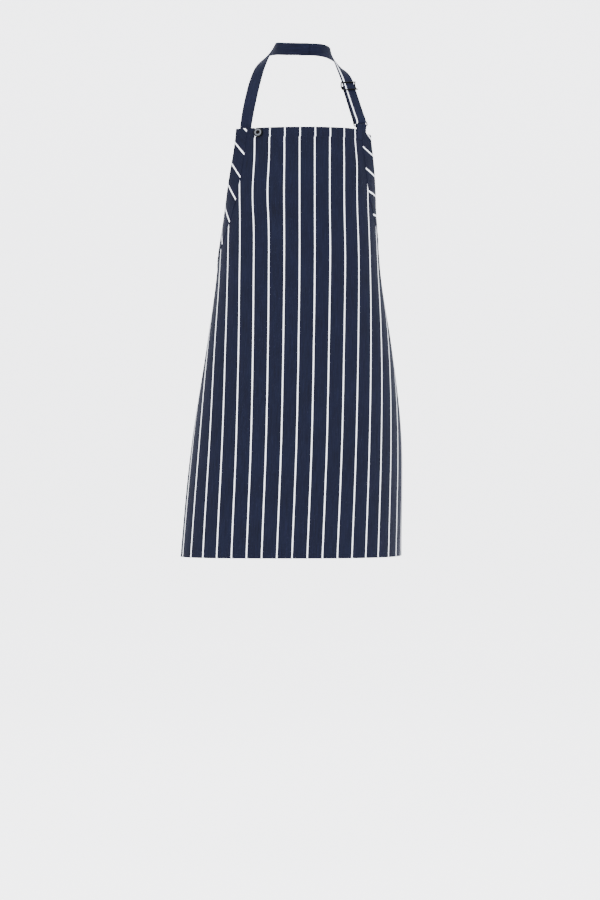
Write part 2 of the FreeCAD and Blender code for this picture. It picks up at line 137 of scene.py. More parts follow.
sectionCache = {}


def section(down, side):
    # how far round, back and turned the cloth is, at steps from the middle
    key = (round(down, 5), side)
    if key not in sectionCache:
        turn = along(drape["downs"], drape["rightTurn" if side < 0 else "leftTurn"], down)
        power = along(drape["downs"], drape["rightPower" if side < 0 else "leftPower"], down)
        reach = np.linspace(0, 0.33, 331)
        inside = math.pi / 2 * (np.minimum(reach, turn) / turn) ** power
        beyond = math.pi / 2 * drape["backCurl"] * power * np.maximum(reach - turn, 0) / turn
        angle = inside + beyond
        middle = (angle[1:] + angle[:-1]) / 2
        step = reach[1] - reach[0]
        x = np.concatenate(([0], np.cumsum(np.cos(middle)) * step))
        y = np.concatenate(([0], np.cumsum(np.sin(middle)) * step))
        sectionCache[key] = (reach, x, y, angle)
    return sectionCache[key]


def halfWidthAt(down):
    half, halfBib = cut["width"] / 2, cut["bibTop"] / 2
    if down >= cut["armholeDepth"]:
        return half
    ending = math.sqrt(1 - cut["armholeEnd"])
    share = math.sqrt(1 - cut["armholeEnd"] * (max(down, 0) / cut["armholeDepth"]) ** cut["armholePower"])
    return half - (half - halfBib) * (share - ending) / (1 - ending)


def formPoint(across, down):
    side = -1 if across < 0 else 1
    reach, x, y, angle = section(down, side)
    distance = abs(across)
    turned = float(np.interp(distance, reach, angle))
    middleX = along(drape["downs"], drape["middleX"], down)
    frontY = along(drape["downs"], drape["frontY"], down)
    spot = Vector((middleX + side * float(np.interp(distance, reach, x)),
                   frontY + float(np.interp(distance, reach, y)), drape["topHeight"] - down))
    return spot, Vector((side * math.sin(turned), -math.cos(turned), 0))


# the drape's own settling, filled in by the cloth simulation: moves[row][column] in metres
settled = {"rows": None, "columns": None, "moves": None}


def settledMove(across, down):
    if settled["moves"] is None:
        return Vector((0, 0, 0))
    rows, columns, moves = settled["rows"], settled["columns"], settled["moves"]
    share = across / halfWidthAt(down)
    rowAt = float(np.interp(down, rows, range(len(rows))))
    columnAt = (min(max(share, -1), 1) + 1) / 2 * (len(columns) - 1)

    def weights(at, last):
        base = min(int(at), last - 1)
        part = at - base
        mix = (-0.5 * part + part ** 2 - 0.5 * part ** 3, 1 - 2.5 * part ** 2 + 1.5 * part ** 3,
               0.5 * part + 2 * part ** 2 - 1.5 * part ** 3, -0.5 * part ** 2 + 0.5 * part ** 3)
        return [min(max(base + step, 0), last) for step in (-1, 0, 1, 2)], mix

    rowSet, rowMix = weights(rowAt, len(rows) - 1)
    columnSet, columnMix = weights(columnAt, len(columns) - 1)
    patch = moves[np.ix_(rowSet, columnSet)]
    return Vector(np.einsum("i,j,ijk->k", rowMix, columnMix, patch))


settling = {
    "rows": 86,
    "columns": 61,
    "frames": 26,
    "ease": 0.012,
    "most": 0.007,
    "inset": 3.5 * mm,
    "tieReach": 0.05,
    "topReach": 0.045,
    "stiffness": 14.0,
    "shear": 4.0,
    "bending": 0.6,
    "mass": 0.25,
    "airDamping": 3.0,
    "friction": 12.0,
    "gap": 0.001,
    "smoothings": 2,
}


def holding(across, down):
    # how firmly the body, the straps and the ties hold the cloth here, from 0 to 1
    half = cut["width"] / 2
    tieAway = math.hypot(half - abs(across), down - cut["tieDown"])
    held = 1 - ease(tieAway / settling["tieReach"])
    return max(held, 1 - ease(down / settling["topReach"]))


def settleCloth():
    # lets the cut cloth, a little easier than the body it hangs on, find its own soft folds
    rows = spread(0.0, cut["length"], settling["rows"])
    columns = spread(-1.0, 1.0, settling["columns"])
    points, weights, bodyPoints, outwards = [], [], [], []
    for down in rows:
        for share in columns:
            across = share * halfWidthAt(down)
            spot, outward = formPoint(across, down)
            points.append(spot)
            bodyPoints.append(spot - outward * settling["inset"])
            outwards.append(outward)
            weights.append(holding(across, down))
    wide = len(columns)
    faces = []
    for row in range(len(rows) - 1):
        for first in range(row * wide, row * wide + wide - 1):
            faces.append((first, first + wide, first + wide + 1, first + 1))

    def sheet(name, spots):
        mesh = bpy.data.meshes.new(name)
        mesh.from_pydata([tuple(spot) for spot in spots], [], faces)
        piece = bpy.data.objects.new(name, mesh)
        scene.collection.objects.link(piece)
        return piece

    wearer = sheet("wearer", bodyPoints)
    wearer.modifiers.new("solid", "COLLISION")
    wearer.collision.thickness_outer = settling["gap"]
    wearer.collision.cloth_friction = settling["friction"]
    loose = sheet("looseCloth", points)
    held = loose.vertex_groups.new(name="held")
    for index, weight in enumerate(weights):
        held.add([index], weight, "REPLACE")
    modifier = loose.modifiers.new("cloth", "CLOTH")
    cloth = modifier.settings
    cloth.quality = 6
    cloth.mass = settling["mass"]
    cloth.air_damping = settling["airDamping"]
    cloth.tension_stiffness = cloth.compression_stiffness = settling["stiffness"]
    cloth.shear_stiffness = settling["shear"]
    cloth.bending_stiffness = settling["bending"]
    cloth.vertex_group_mass = "held"
    cloth.pin_stiffness = 1.0
    cloth.shrink_min = cloth.shrink_max = -settling["ease"]
    modifier.collision_settings.distance_min = settling["gap"]
    for step in range(1, settling["frames"] + 1):
        scene.frame_set(step)
    result = loose.evaluated_get(bpy.context.evaluated_depsgraph_get()).to_mesh()
    # only the folds are kept, in and out of the cloth, so that its outline and its hem stay where they are
    moves = np.array([tuple((vertex.co - point).dot(out) * out)
                      for vertex, point, out in zip(result.vertices, points, outwards)])
    moves *= 1 - np.array(weights)[:, None]
    size = np.linalg.norm(moves, axis=1, keepdims=True)
    moves *= settling["most"] * np.tanh(size / settling["most"]) / np.maximum(size, 1e-9)
    moves = moves.reshape(len(rows), wide, 3)
    for _ in range(settling["smoothings"]):
        near = np.pad(moves, ((1, 1), (1, 1), (0, 0)), mode="edge")
        moves = (near[:-2, 1:-1] + near[2:, 1:-1] + near[1:-1, :-2] + near[1:-1, 2:] + 4 * moves) / 8
    settled.update({"rows": rows, "columns": columns, "moves": moves})
    bpy.data.objects.remove(loose)
    bpy.data.objects.remove(wearer)
    scene.frame_set(1)
    print("cloth settled, most movement", round(float(np.abs(moves).max()) / mm, 1), "mm")


settleCloth()

# the small gathers that sewing leaves beside each row of stitches
gathers = {
    "height": 0.22 * mm,
    "pitch": 0.006,
    "reach": 0.009,
    "groove": 0.32 * mm,
    "grooveWidth": 0.0011,
    "topRow": 0.0195,
    "hemRow": 0.0085,
}


def gathered(across, down):
    rows = [(abs(down - gathers["topRow"]), across)]
    rows.append((abs(cut["length"] - gathers["hemRow"] - down), across))
    rows.append((abs(halfWidthAt(down) - gathers["hemRow"] - abs(across)), down))
    height = 0.0
    for distance, run in rows:
        if distance < gathers["reach"]:
            wave = noise.noise(Vector((run / gathers["pitch"], down * 9, across * 9)))
            height += gathers["height"] * wave * (1 - distance / gathers["reach"]) ** 2
            height -= gathers["groove"] * math.exp(-(distance / gathers["grooveWidth"]) ** 2)
    return height


# the bib's corners give: one is drawn out under its strap, and the other droops beside the ring
corners = {
    "rightStart": 0.104,
    "rightReach": 0.04,
    "rightOut": 0.0045,
    "rightDown": 0.28,
    "pullAcross": -0.095,
    "pullWidth": 0.035,
    "pullDown": 0.130,
    "pullLength": 0.055,
    "pull": 0.0048,
    "leftStart": 0.109,
    "leftReach": 0.034,
    "leftMost": 1.2,
    "leftPower": 1.3,
    "leftDrop": 0.0108,
    "leftDown": 0.052,
    "bunchAcross": 0.114,
    "bunchWidth": 0.03,
    "bunchDown": 0.085,
    "bunch": 0.0068,
}


def cornerGive(across, down):
    if across < 0:
        share = ease((-across - corners["rightStart"]) / corners["rightReach"])
        share *= ease(1 - down / corners["rightDown"])
        aside = (across - corners["pullAcross"]) / corners["pullWidth"]
        below = (down - corners["pullDown"]) / corners["pullLength"]
        pull = corners["pull"] * math.exp(-aside ** 2 - below ** 2)
        return Vector((-corners["rightOut"] * share - pull, 0, 0))
    share = min(max((across - corners["leftStart"]) / corners["leftReach"], 0.0), corners["leftMost"])
    drop = corners["leftDrop"] * share ** corners["leftPower"] * ease(1 - down / corners["leftDown"])
    aside = (across - corners["bunchAcross"]) / corners["bunchWidth"]
    bunch = corners["bunch"] * math.exp(-aside ** 2) * ease(1 - down / corners["bunchDown"])
    return Vector((-bunch, 0, -drop))


def clothPoint(across, down, lift):
    spot, outward = formPoint(across, down)
    spot += settledMove(across, down) + cornerGive(across, down)
    return spot + outward * (lift + gathered(across, down)), outward


def clothNormal(across, down):
    reach = 4 * mm
    sideways = formPoint(across + reach, down)[0] - formPoint(across - reach, down)[0]
    downward = formPoint(across, down + reach)[0] - formPoint(across, down - reach)[0]
    return downward.cross(sideways).normalized()


def meshOf(name, points, faces):
    mesh = bpy.data.meshes.new(name)
    mesh.from_pydata([tuple(point) for point in points], [], faces)
    return mesh


def newObject(name, mesh, material):
    piece = bpy.data.objects.new(name, mesh)
    scene.collection.objects.link(piece)
    mesh.materials.clear()
    mesh.materials.append(material)
    return piece


def gridMesh(name, fronts, backs, flats, material):
    # a closed sheet from a grid of front points, the same grid of back points, and flat-pattern places
    rows, columns = len(fronts), len(fronts[0])
    points = [point for row in fronts for point in row] + [point for row in backs for point in row]
    flat = [place for row in flats for place in row] * 2
    count = rows * columns

    def at(row, column, back=False):
        return row * columns + column + (count if back else 0)

    faces = []
    for row in range(rows - 1):
        for column in range(columns - 1):
            corners = [(row, column), (row + 1, column), (row + 1, column + 1), (row, column + 1)]
            faces.append([at(*corner) for corner in corners])
            faces.append([at(*corner, True) for corner in reversed(corners)])
    ring = [(0, column) for column in range(columns)] + [(row, columns - 1) for row in range(1, rows)]
    ring += [(rows - 1, column) for column in range(columns - 2, -1, -1)]
    ring += [(row, 0) for row in range(rows - 2, 0, -1)]
    for first, second in zip(ring, ring[1:] + ring[:1]):
        faces.append([at(*first), at(*second), at(*second, True), at(*first, True)])
    mesh = meshOf(name, points, faces)
    layer = mesh.uv_layers.new(name="flat")
    for loop in mesh.loops:
        layer.data[loop.index].uv = flat[loop.vertex_index]
    mesh.update()
    smoothed(mesh, 50)
    return newObject(name, mesh, material)


def fixNormals(mesh):
    work = bmesh.new()
    work.from_mesh(mesh)
    bmesh.ops.recalc_face_normals(work, faces=work.faces)
    if work.calc_volume(signed=True) < 0:
        bmesh.ops.reverse_faces(work, faces=work.faces)
    work.to_mesh(mesh)
    work.free()


def smoothed(mesh, sharpAbove):
    fixNormals(mesh)
    mesh.shade_smooth()
    mesh.set_sharp_from_angle(angle=math.radians(sharpAbove))


def layFlat(mesh, flats):
    # gives each face its places on the flat pattern
    layer = mesh.uv_layers.new(name="flat")
    for polygon, flat in zip(mesh.polygons, flats):
        for loop, place in zip(polygon.loop_indices, flat):
            layer.data[loop].uv = place


def foldedSheet(name, place, rows, outer, inner, material, flatPlace=None):
    # a sewn layer: at each row a cross-section of (depth, height) points, its outer face and its inner face
    fronts, backs, flats = [], [], []
    for row in rows:
        front, back, flat = [], [], []
        for (depth, height), (innerDepth, innerHeight) in zip(outer, inner):
            front.append(clothPoint(*place(row, depth), height)[0])
            back.append(clothPoint(*place(row, innerDepth), innerHeight)[0])
            flat.append(flatPlace(row, depth) if flatPlace else place(row, depth))
        fronts.append(front)
        backs.append(back)
        flats.append(flat)
    return gridMesh(name, fronts, backs, flats, material)


def frames(points, faces, pace=0.0025):
    # places along a tape's middle, with the way along, across and out of it, and the length so far
    points = [Vector(point) for point in points]
    faces = [Vector(face) for face in faces]
    knots = [0.0]
    for first, second in zip(points, points[1:]):
        knots.append(knots[-1] + (second - first).length)
    count = max(int(knots[-1] / pace), 8)
    wheres = sorted(set(spread(0, knots[-1], count) + knots))
    wheres = [here for index, here in enumerate(wheres) if index == 0 or here - wheres[index - 1] > 1e-6]
    spots = [along(knots, points, where) for where in wheres]
    result = []
    length = 0.0
    for index, spot in enumerate(spots):
        ahead = (spots[min(index + 1, len(spots) - 1)] - spots[max(index - 1, 0)]).normalized()
        side = ahead.cross(along(knots, faces, wheres[index])).normalized()
        length += (spot - spots[index - 1]).length if index else 0
        result.append((spot, ahead, side, side.cross(ahead), length))
    return result


seamInset = 2.2 * mm


def tapeProfile(width, thick, grooveDeep):
    # half of a tape's cross-section, from its middle to its edge: how far across and how far out
    half = width / 2
    bulge = thick / 2
    groove = half - seamInset
    outline = [(0, bulge), (half * 0.45, bulge), (groove - 1.1 * mm, bulge)]
    outline += [(groove - 0.45 * mm, bulge * 0.97), (groove, bulge - grooveDeep)]
    outline.append((groove + 0.45 * mm, bulge * 0.97))
    outline += [(half - bulge * 0.9, bulge), (half - bulge * 0.25, bulge * 0.72), (half, 0)]
    return outline


def tape(name, rows, width, thick, material, grooveDeep=0.16 * mm, shape=None, seed=0.0):
    # a sewn tape swept along rows from frames(); shape(length) gives a width share and a curl in radians
    half = tapeProfile(width, thick, grooveDeep)
    outline = half + [(across, -out) for across, out in reversed(half[:-1])]
    outline += [(-across, -out) for across, out in half[1:]]
    outline += [(-across, out) for across, out in reversed(half[1:-1])]
    count = len(outline)
    points = []
    for spot, _, side, face, length in rows:
        narrow, curl = shape(length) if shape else (1.0, 0.0)
        for across, out in outline:
            pucker = noise.noise(Vector((length * 260 + seed, across * 300, out * 900))) * 0.09 * mm
            across *= narrow
            out += math.copysign(pucker, out) if out else 0
            if abs(curl) > 1e-4:
                bend = width * narrow / curl
                turned = across / bend
                offset = side * math.sin(turned) * (bend + out)
                offset += face * ((bend + out) * math.cos(turned) - bend)
            else:
                offset = side * across + face * out
            points.append(spot + offset)
    faces, flats = [], []
    for row in range(len(rows) - 1):
        for index in range(count):
            after = (index + 1) % count
            corners = [(row, index), (row, after), (row + 1, after), (row + 1, index)]
            faces.append([line * count + column for line, column in corners])
            under = 0.1 if outline[index][1] + outline[after][1] < 0 else 0.0
            flats.append([(outline[column][0] + under, rows[line][4]) for line, column in corners])
    for line in (0, len(rows) - 1):
        order = range(count) if line == 0 else reversed(range(count))
        faces.append([line * count + column for column in order])
        flats.append([(0.1, rows[line][4])] * count)
    mesh = meshOf(name, points, faces)
    layFlat(mesh, flats)
    mesh.update()
    smoothed(mesh, 60)
    return newObject(name, mesh, material)


def joined(name, pieces):
    work = bmesh.new()
    for piece in pieces:
        work.from_mesh(piece.data)
    mesh = bpy.data.meshes.new(name)
    work.to_mesh(mesh)
    work.free()
    material = pieces[0].data.materials[0]
    for piece in pieces:
        bpy.data.objects.remove(piece)
    return newObject(name, mesh, material)


def nodeGroup(name, inputs, outputs):
    tree = bpy.data.node_groups.new(name, "ShaderNodeTree")
    for label, kind, value in inputs:
        socket = tree.interface.new_socket(label, in_out="INPUT", socket_type="NodeSocket" + kind)
        socket.default_value = value
    for label, kind in outputs:
        tree.interface.new_socket(label, in_out="OUTPUT", socket_type="NodeSocket" + kind)
    return tree, tree.nodes.new("NodeGroupInput").outputs, tree.nodes.new("NodeGroupOutput").inputs


def setInputs(node, **values):
    # an input's name is written here without its spaces
    for socket in node.inputs:
        if socket.name.replace(" ", "") in values:
            socket.default_value = values[socket.name.replace(" ", "")]


def feed(tree, socket, value):
    if hasattr(value, "is_output"):
        tree.links.new(value, socket)
    elif value is not None:
        socket.default_value = value


def calc(tree, operation, first, second=None, third=None):
    node = tree.nodes.new("ShaderNodeMath")
    node.operation = operation
    for socket, value in zip(node.inputs, (first, second, third)):
        feed(tree, socket, value)
    return node.outputs[0]


def times(tree, first, second):
    return calc(tree, "MULTIPLY", first, second)


def remap(tree, value, low, high):
    # 0 below low and 1 above high, with a smooth step between
    node = tree.nodes.new("ShaderNodeMapRange")
    node.interpolation_type = "SMOOTHSTEP"
    for label, given in (("Value", value), ("From Min", low), ("From Max", high)):
        feed(tree, node.inputs[label], given)
    return node.outputs["Result"]


def grain(tree, x, y, z, detail=2.0, rough=0.5):
    # noise at a place that is already scaled
    place = tree.nodes.new("ShaderNodeCombineXYZ")
    for socket, value in zip(place.inputs, (x, y, z)):
        feed(tree, socket, value)
    node = tree.nodes.new("ShaderNodeTexNoise")
    setInputs(node, Scale=1.0, Detail=detail, Roughness=rough)
    tree.links.new(place.outputs[0], node.inputs["Vector"])
    return node.outputs["Fac"]


def clothGrain(tree, given, acrossScale, alongScale, layer, detail=2.0, rough=0.5):
    # noise over the cloth; the layer keeps one use of it apart from another
    x, y = times(tree, given["Across"], acrossScale), times(tree, given["Along"], alongScale)
    return grain(tree, x, y, layer, detail, rough)


def blended(tree, share, first, second):
    node = tree.nodes.new("ShaderNodeMix")
    node.data_type = "RGBA"
    feed(tree, node.inputs[0], share)
    feed(tree, node.inputs[6], first)
    feed(tree, node.inputs[7], second)
    return node.outputs[2]


onCloth = [("Across", "Float", 0.0), ("Along", "Float", 0.0)]


def chalkStripeGroup():
    # woven stripes: where they are, with the uneven edge that the yarns give
    tree, given, result = nodeGroup(
        "chalkStripes",
        onCloth + [("Pitch", "Float", 0.03), ("Centre", "Float", 0.015), ("Width", "Float", 0.0033),
                   ("Ragged", "Float", 0.0003), ("Wander", "Float", 0.0004)],
        [("Mask", "Float")])
    drift = clothGrain(tree, given, 4.0, 9.0, 0.0)
    drift = times(tree, calc(tree, "SUBTRACT", drift, 0.5), given["Wander"])
    across = calc(tree, "ADD", calc(tree, "SUBTRACT", given["Across"], given["Centre"]), drift)
    count = calc(tree, "DIVIDE", across, given["Pitch"])
    off = calc(tree, "ABSOLUTE", calc(tree, "SUBTRACT", count, calc(tree, "ROUND", count)))
    distance = times(tree, off, given["Pitch"])
    fray = clothGrain(tree, given, 900.0, 1500.0, 1.0)
    fray = times(tree, calc(tree, "SUBTRACT", fray, 0.5), given["Ragged"])
    edge = calc(tree, "ADD", distance, fray)
    edge = calc(tree, "SUBTRACT", edge, times(tree, given["Width"], 0.5))
    tree.links.new(remap(tree, edge, 0.00014, -0.00014), result["Mask"])
    return tree


def twillGroup():
    # the weave's slanting ribs and its upright yarns, as a height for the bump and as a painted shade that
    # darkens the colour in their recesses
    tree, given, result = nodeGroup(
        "twillWeave",
        onCloth + [("Yarn", "Float", 0.00042), ("Slant", "Float", 1.6)],
        [("Height", "Float"), ("Shade", "Float")])
    wobble = times(tree, clothGrain(tree, given, 260.0, 60.0, 3.0), 1.6)
    yarns = calc(tree, "DIVIDE", given["Across"], given["Yarn"])
    picks = calc(tree, "DIVIDE", given["Along"], times(tree, given["Yarn"], given["Slant"]))
    slanted = calc(tree, "ADD", calc(tree, "ADD", yarns, picks), wobble)
    rib = calc(tree, "SINE", times(tree, slanted, math.pi))
    yarn = calc(tree, "SINE", times(tree, yarns, 2 * math.pi))
    pick = calc(tree, "SINE", times(tree, picks, 4 * math.pi))
    height = calc(tree, "MULTIPLY_ADD", rib, 0.28, 0.5)
    height = calc(tree, "MULTIPLY_ADD", yarn, 0.12, height)
    height = calc(tree, "MULTIPLY_ADD", pick, 0.07, height)
    tree.links.new(height, result["Height"])
    # the painted shade: low where the weave is low, so that its recesses are darkened in the colour
    tree.links.new(remap(tree, height, 0.15, 0.75), result["Shade"])
    return tree


def yarnToneGroup():
    # dye that took unevenly: fine streaks along the yarns over broad, faint clouds
    tree, given, result = nodeGroup(
        "yarnTone",
        onCloth + [("Streak", "Float", 700.0), ("Cloud", "Float", 16.0)],
        [("Tone", "Float")])
    streak = clothGrain(tree, given, given["Streak"], 22.0, 0.0, 4.0, 0.7)
    cloud = clothGrain(tree, given, given["Cloud"], given["Cloud"], 5.0, 3.0)
    tone = calc(tree, "ADD", times(tree, streak, 0.8), times(tree, cloud, 0.2))
    tree.links.new(remap(tree, tone, 0.32, 0.68), result["Tone"])
    return tree


def lintGroup():
    # short pale fibres that lie loose on the cloth
    tree, given, result = nodeGroup("looseLint", onCloth + [("Amount", "Float", 0.12)], [("Mask", "Float")])
    fine = clothGrain(tree, given, 1900.0, 520.0, 7.0, 3.0)
    patchy = clothGrain(tree, given, 60.0, 60.0, 9.0)
    mask = times(tree, remap(tree, fine, 0.64, 0.76), remap(tree, patchy, 0.4, 0.7))
    tree.links.new(times(tree, mask, given["Amount"]), result["Mask"])
    return tree


def handledMetalGroup():
    # drawn wire: fine scratches, faint finger marks and rubbed high places
    tree, given, result = nodeGroup(
        "handledMetal",
        [("Place", "Vector", (0, 0, 0)), ("Scratch", "Float", 2600.0), ("Rough", "Float", 0.32),
         ("Spread", "Float", 0.16)],
        [("Roughness", "Float"), ("Rub", "Float"), ("Height", "Float")])
    parts = tree.nodes.new("ShaderNodeSeparateXYZ")
    tree.links.new(given["Place"], parts.inputs[0])
    x, y, z = parts.outputs
    fine = grain(tree, times(tree, x, given["Scratch"]), times(tree, y, 900.0),
                 times(tree, z, 900.0), 4.0, 0.65)
    broad = grain(tree, *[times(tree, part, 210.0) for part in (x, y, z)])
    mixed = calc(tree, "ADD", times(tree, fine, 0.5), times(tree, broad, 0.5))
    spreadOut = times(tree, calc(tree, "SUBTRACT", mixed, 0.5), given["Spread"])
    tree.links.new(calc(tree, "ADD", spreadOut, given["Rough"]), result["Roughness"])
    tree.links.new(remap(tree, mixed, 0.55, 0.68), result["Rub"])
    tree.links.new(fine, result["Height"])
    return tree


effects = {"stripes": chalkStripeGroup(), "twill": twillGroup(), "tone": yarnToneGroup(), "lint": lintGroup(),
           "metal": handledMetalGroup()}


def placed(tree, effect, **values):
    node = tree.nodes.new("ShaderNodeGroup")
    node.node_tree = effects[effect]
    for label, value in values.items():
        feed(tree, node.inputs[label], value)
    return node.outputs


def linear(red, green, blue):
    # a colour from the usual 0 to 255 values
    parts = []
    for value in (red / 255, green / 255, blue / 255):
        parts.append(value / 12.92 if value < 0.04045 else ((value + 0.055) / 1.055) ** 2.4)
    return (*parts, 1.0)


def startMaterial(name):
    material = bpy.data.materials.new(name)
    material.use_nodes = True
    return material, material.node_tree, material.node_tree.nodes["Principled BSDF"]


def bumped(tree, shader, height, strength, distance):
    bump = tree.nodes.new("ShaderNodeBump")
    setInputs(bump, Strength=strength, Distance=distance)
    tree.links.new(height, bump.inputs["Height"])
    tree.links.new(bump.outputs[0], shader.inputs["Normal"])


clothFinish = {
    "deep": linear(3, 5, 20),
    "worn": linear(11, 15, 36),
    # painted shade: the colour that the weave's recesses are darkened towards
    "rib": linear(2, 3, 13),
    "chalk": linear(247, 249, 255),
    # painted shade: the stripes' colour in the weave's recesses
    "chalkShade": linear(222, 226, 238),
    "lint": linear(150, 156, 172),
    "rough": 0.86,
    "sheen": 0.03,
    "pitch": 0.030,
    "centre": 0.015,
    "stripe": 0.0024,
    "yarn": 0.00042,
    "bump": 0.55,
    "tapePitch": 0.5,
    "tapeCentre": 0.0075,
    "tapeStripe": 0.0025,
    "tapeTint": 1.25,
}


def clothMaterial(name, pitch=0.0, centre=0.0, width=0.0, tint=1.0):
    # dyed twill with painted shade darkening its weave's recesses, and woven stripes if they have a width,
    # laid out on the cloth's own flat pattern
    material, tree, shader = startMaterial(name)
    layout = tree.nodes.new("ShaderNodeUVMap")
    layout.uv_map = "flat"
    parts = tree.nodes.new("ShaderNodeSeparateXYZ")
    tree.links.new(layout.outputs[0], parts.inputs[0])
    across, down = parts.outputs[0], parts.outputs[1]
    weave = placed(tree, "twill", Across=across, Along=down, Yarn=clothFinish["yarn"])
    tone = placed(tree, "tone", Across=across, Along=down)
    lint = placed(tree, "lint", Across=across, Along=down)
    deep = tuple(value * tint for value in clothFinish["deep"][:3]) + (1.0,)
    worn = tuple(value * tint for value in clothFinish["worn"][:3]) + (1.0,)
    ground = blended(tree, tone["Tone"], deep, worn)
    # painted shade: the ground colour darkened in the weave's recesses, where shade falls
    ground = blended(tree, calc(tree, "MULTIPLY_ADD", weave["Shade"], 0.5, 0.5), clothFinish["rib"], ground)
    colour = blended(tree, lint["Mask"], ground, clothFinish["lint"])
    if width:
        stripe = placed(tree, "stripes", Across=across, Along=down, Pitch=pitch, Centre=centre, Width=width)
        # painted shade: the stripes darkened in the weave's recesses, where shade falls
        chalk = blended(tree, weave["Shade"], clothFinish["chalkShade"], clothFinish["chalk"])
        colour = blended(tree, stripe["Mask"], colour, chalk)
    tree.links.new(colour, shader.inputs["Base Color"])
    setInputs(shader, Roughness=clothFinish["rough"], SpecularIORLevel=0.12, SheenWeight=clothFinish["sheen"],
              SheenRoughness=0.45, SheenTint=linear(170, 180, 205))
    bumped(tree, shader, weave["Height"], clothFinish["bump"], 0.0002)
    return material


def threadMaterial():
    material, tree, shader = startMaterial("navyThread")
    spot = tree.nodes.new("ShaderNodeTexCoord").outputs["Object"]
    parts = tree.nodes.new("ShaderNodeSeparateXYZ")
    tree.links.new(spot, parts.inputs[0])
    x, y, z = parts.outputs
    twist = calc(tree, "SINE", times(tree, calc(tree, "ADD", calc(tree, "ADD", x, y), z), 11000.0))
    shade = calc(tree, "MULTIPLY_ADD", twist, 0.5, 0.5)
    # painted shade: the thread's colour darkened in the grooves of its twist, following the same wave as its
    # bump
    colour = blended(tree, shade, linear(3, 5, 17), linear(13, 17, 38))
    tree.links.new(colour, shader.inputs["Base Color"])
    setInputs(shader, Roughness=0.6, SpecularIORLevel=0.2)
    bumped(tree, shader, shade, 0.4, 0.00008)
    return material


def metalMaterial(name, base, rubbed, rough, specular=0.5, metallic=1.0, scratch=2600.0):
    material, tree, shader = startMaterial(name)
    spot = tree.nodes.new("ShaderNodeTexCoord").outputs["Object"]
    wear = placed(tree, "metal", Place=spot, Scratch=scratch, Rough=rough)
    colour = blended(tree, times(tree, wear["Rub"], 0.6), base, rubbed)
    tree.links.new(colour, shader.inputs["Base Color"])
    tree.links.new(wear["Roughness"], shader.inputs["Roughness"])
    setInputs(shader, Metallic=metallic, SpecularIORLevel=specular)
    bumped(tree, shader, wear["Height"], 0.12, 0.00005)
    return material


finishes = {
    "twill": clothMaterial("stripedTwill", clothFinish["pitch"], clothFinish["centre"],
                           clothFinish["stripe"]),
    "stripedTape": clothMaterial("tapeWithOneStripe", clothFinish["tapePitch"], clothFinish["tapeCentre"],
                                 clothFinish["tapeStripe"], clothFinish["tapeTint"]),
    "tape": clothMaterial("plainTwillTape", tint=clothFinish["tapeTint"]),
    "thread": threadMaterial(),
    "blackMetal": metalMaterial("blackNickel", linear(9, 8, 8), linear(34, 31, 28), 0.42),
    "enamel": metalMaterial("blackEnamel", linear(3, 3, 4), linear(10, 10, 11), 0.28, specular=0.06,
                            metallic=0.0),
    "silver": metalMaterial("brushedNickel", linear(62, 64, 68), linear(112, 114, 120), 0.3,
                            scratch=3200.0),
    "brass": metalMaterial("dullBrass", linear(150, 122, 70), linear(190, 160, 104), 0.38),
}
print("finishes ready:", ", ".join(finishes))

# the panel and its sewn layers
sewing = {
    "rows": 128,
    "columns": 119,
    "topHem": 0.021,
    "hem": 0.010,
    "facing": 0.022,
    "jog": 0.0011,
    "rightBias": 0.0040,
    "leftBias": 0.0085,
    "rightSpread": (0.9, 0.24),
    "leftSpread": (0.85, 0.18),
    "slant": 0.92,
    "slantLower": 0.5,
    "slantRun": 0.2,
    "foldThick": 0.6 * mm,
    "inset": 0.4 * mm,
}


def stitchJog(down):
    # the stripes step sideways a little at the row that holds the top hem
    return sewing["jog"] * ease((down - 0.0190) / 0.0012)


def bodyPanel():
    low, high = 0.0, layers["cloth"]
    trim = layers["trim"]
    seam = cut["length"] - gathers["hemRow"]
    drops = [trim + 0.0002] + spread(0.004, 0.0175, 4) + spread(0.0184, 0.0206, 5) + [0.0215, 0.024]
    drops += spread(0.029, seam - 0.004, sewing["rows"]) + spread(seam - 0.0012, seam + 0.0012, 5)
    drops += [seam + 0.0025, seam + 0.0045, cut["length"] - trim]
    shares = spread(-1, 1, sewing["columns"])
    fronts, backs, flats = [], [], []
    for down in drops:
        half = halfWidthAt(down) - trim
        front, back, flat = [], [], []
        for share in shares:
            spot, outward = clothPoint(share * half, down, low)
            back.append(spot)
            front.append(spot + outward * high)
            flat.append((share * half + stitchJog(down), down))
        fronts.append(front)
        backs.append(back)
        flats.append(flat)
    return gridMesh("bodyPanel", fronts, backs, flats, finishes["twill"])


def foldSection(depth, far, near, free, width):
    # the cross-section of an edge turned over: from its free edge to the fold, then round it
    middle = (far + near) / 2
    radius = abs(near - far) / 2
    sense = 1 if near > far else -1
    thick = abs(free - far)
    start = layers["trim"] - 0.05 * mm
    outer = [(depth, far + sense * thick * 0.6), (depth - 0.15 * mm, far + sense * thick * 0.15)]
    outer += [(depth - 0.6 * mm, far), (depth * 0.66, far), (depth * 0.33, far), (start + 0.8 * mm, far)]
    inner = [(depth, far + sense * thick * 0.8), (depth - 0.15 * mm, free), (depth - 0.6 * mm, free)]
    inner += [(depth * 0.66, free), (depth * 0.33, free), (start + 0.8 * mm, free)]
    for line, size in ((outer, radius), (inner, radius - width)):
        for turn in spread(0, math.pi, 8):
            line.append((start - size * math.sin(turn), middle - sense * size * math.cos(turn)))
    return outer, inner


def hemSection(depth):
    return foldSection(depth, layers["hemLow"], layers["cloth"], layers["hemHigh"], sewing["foldThick"])


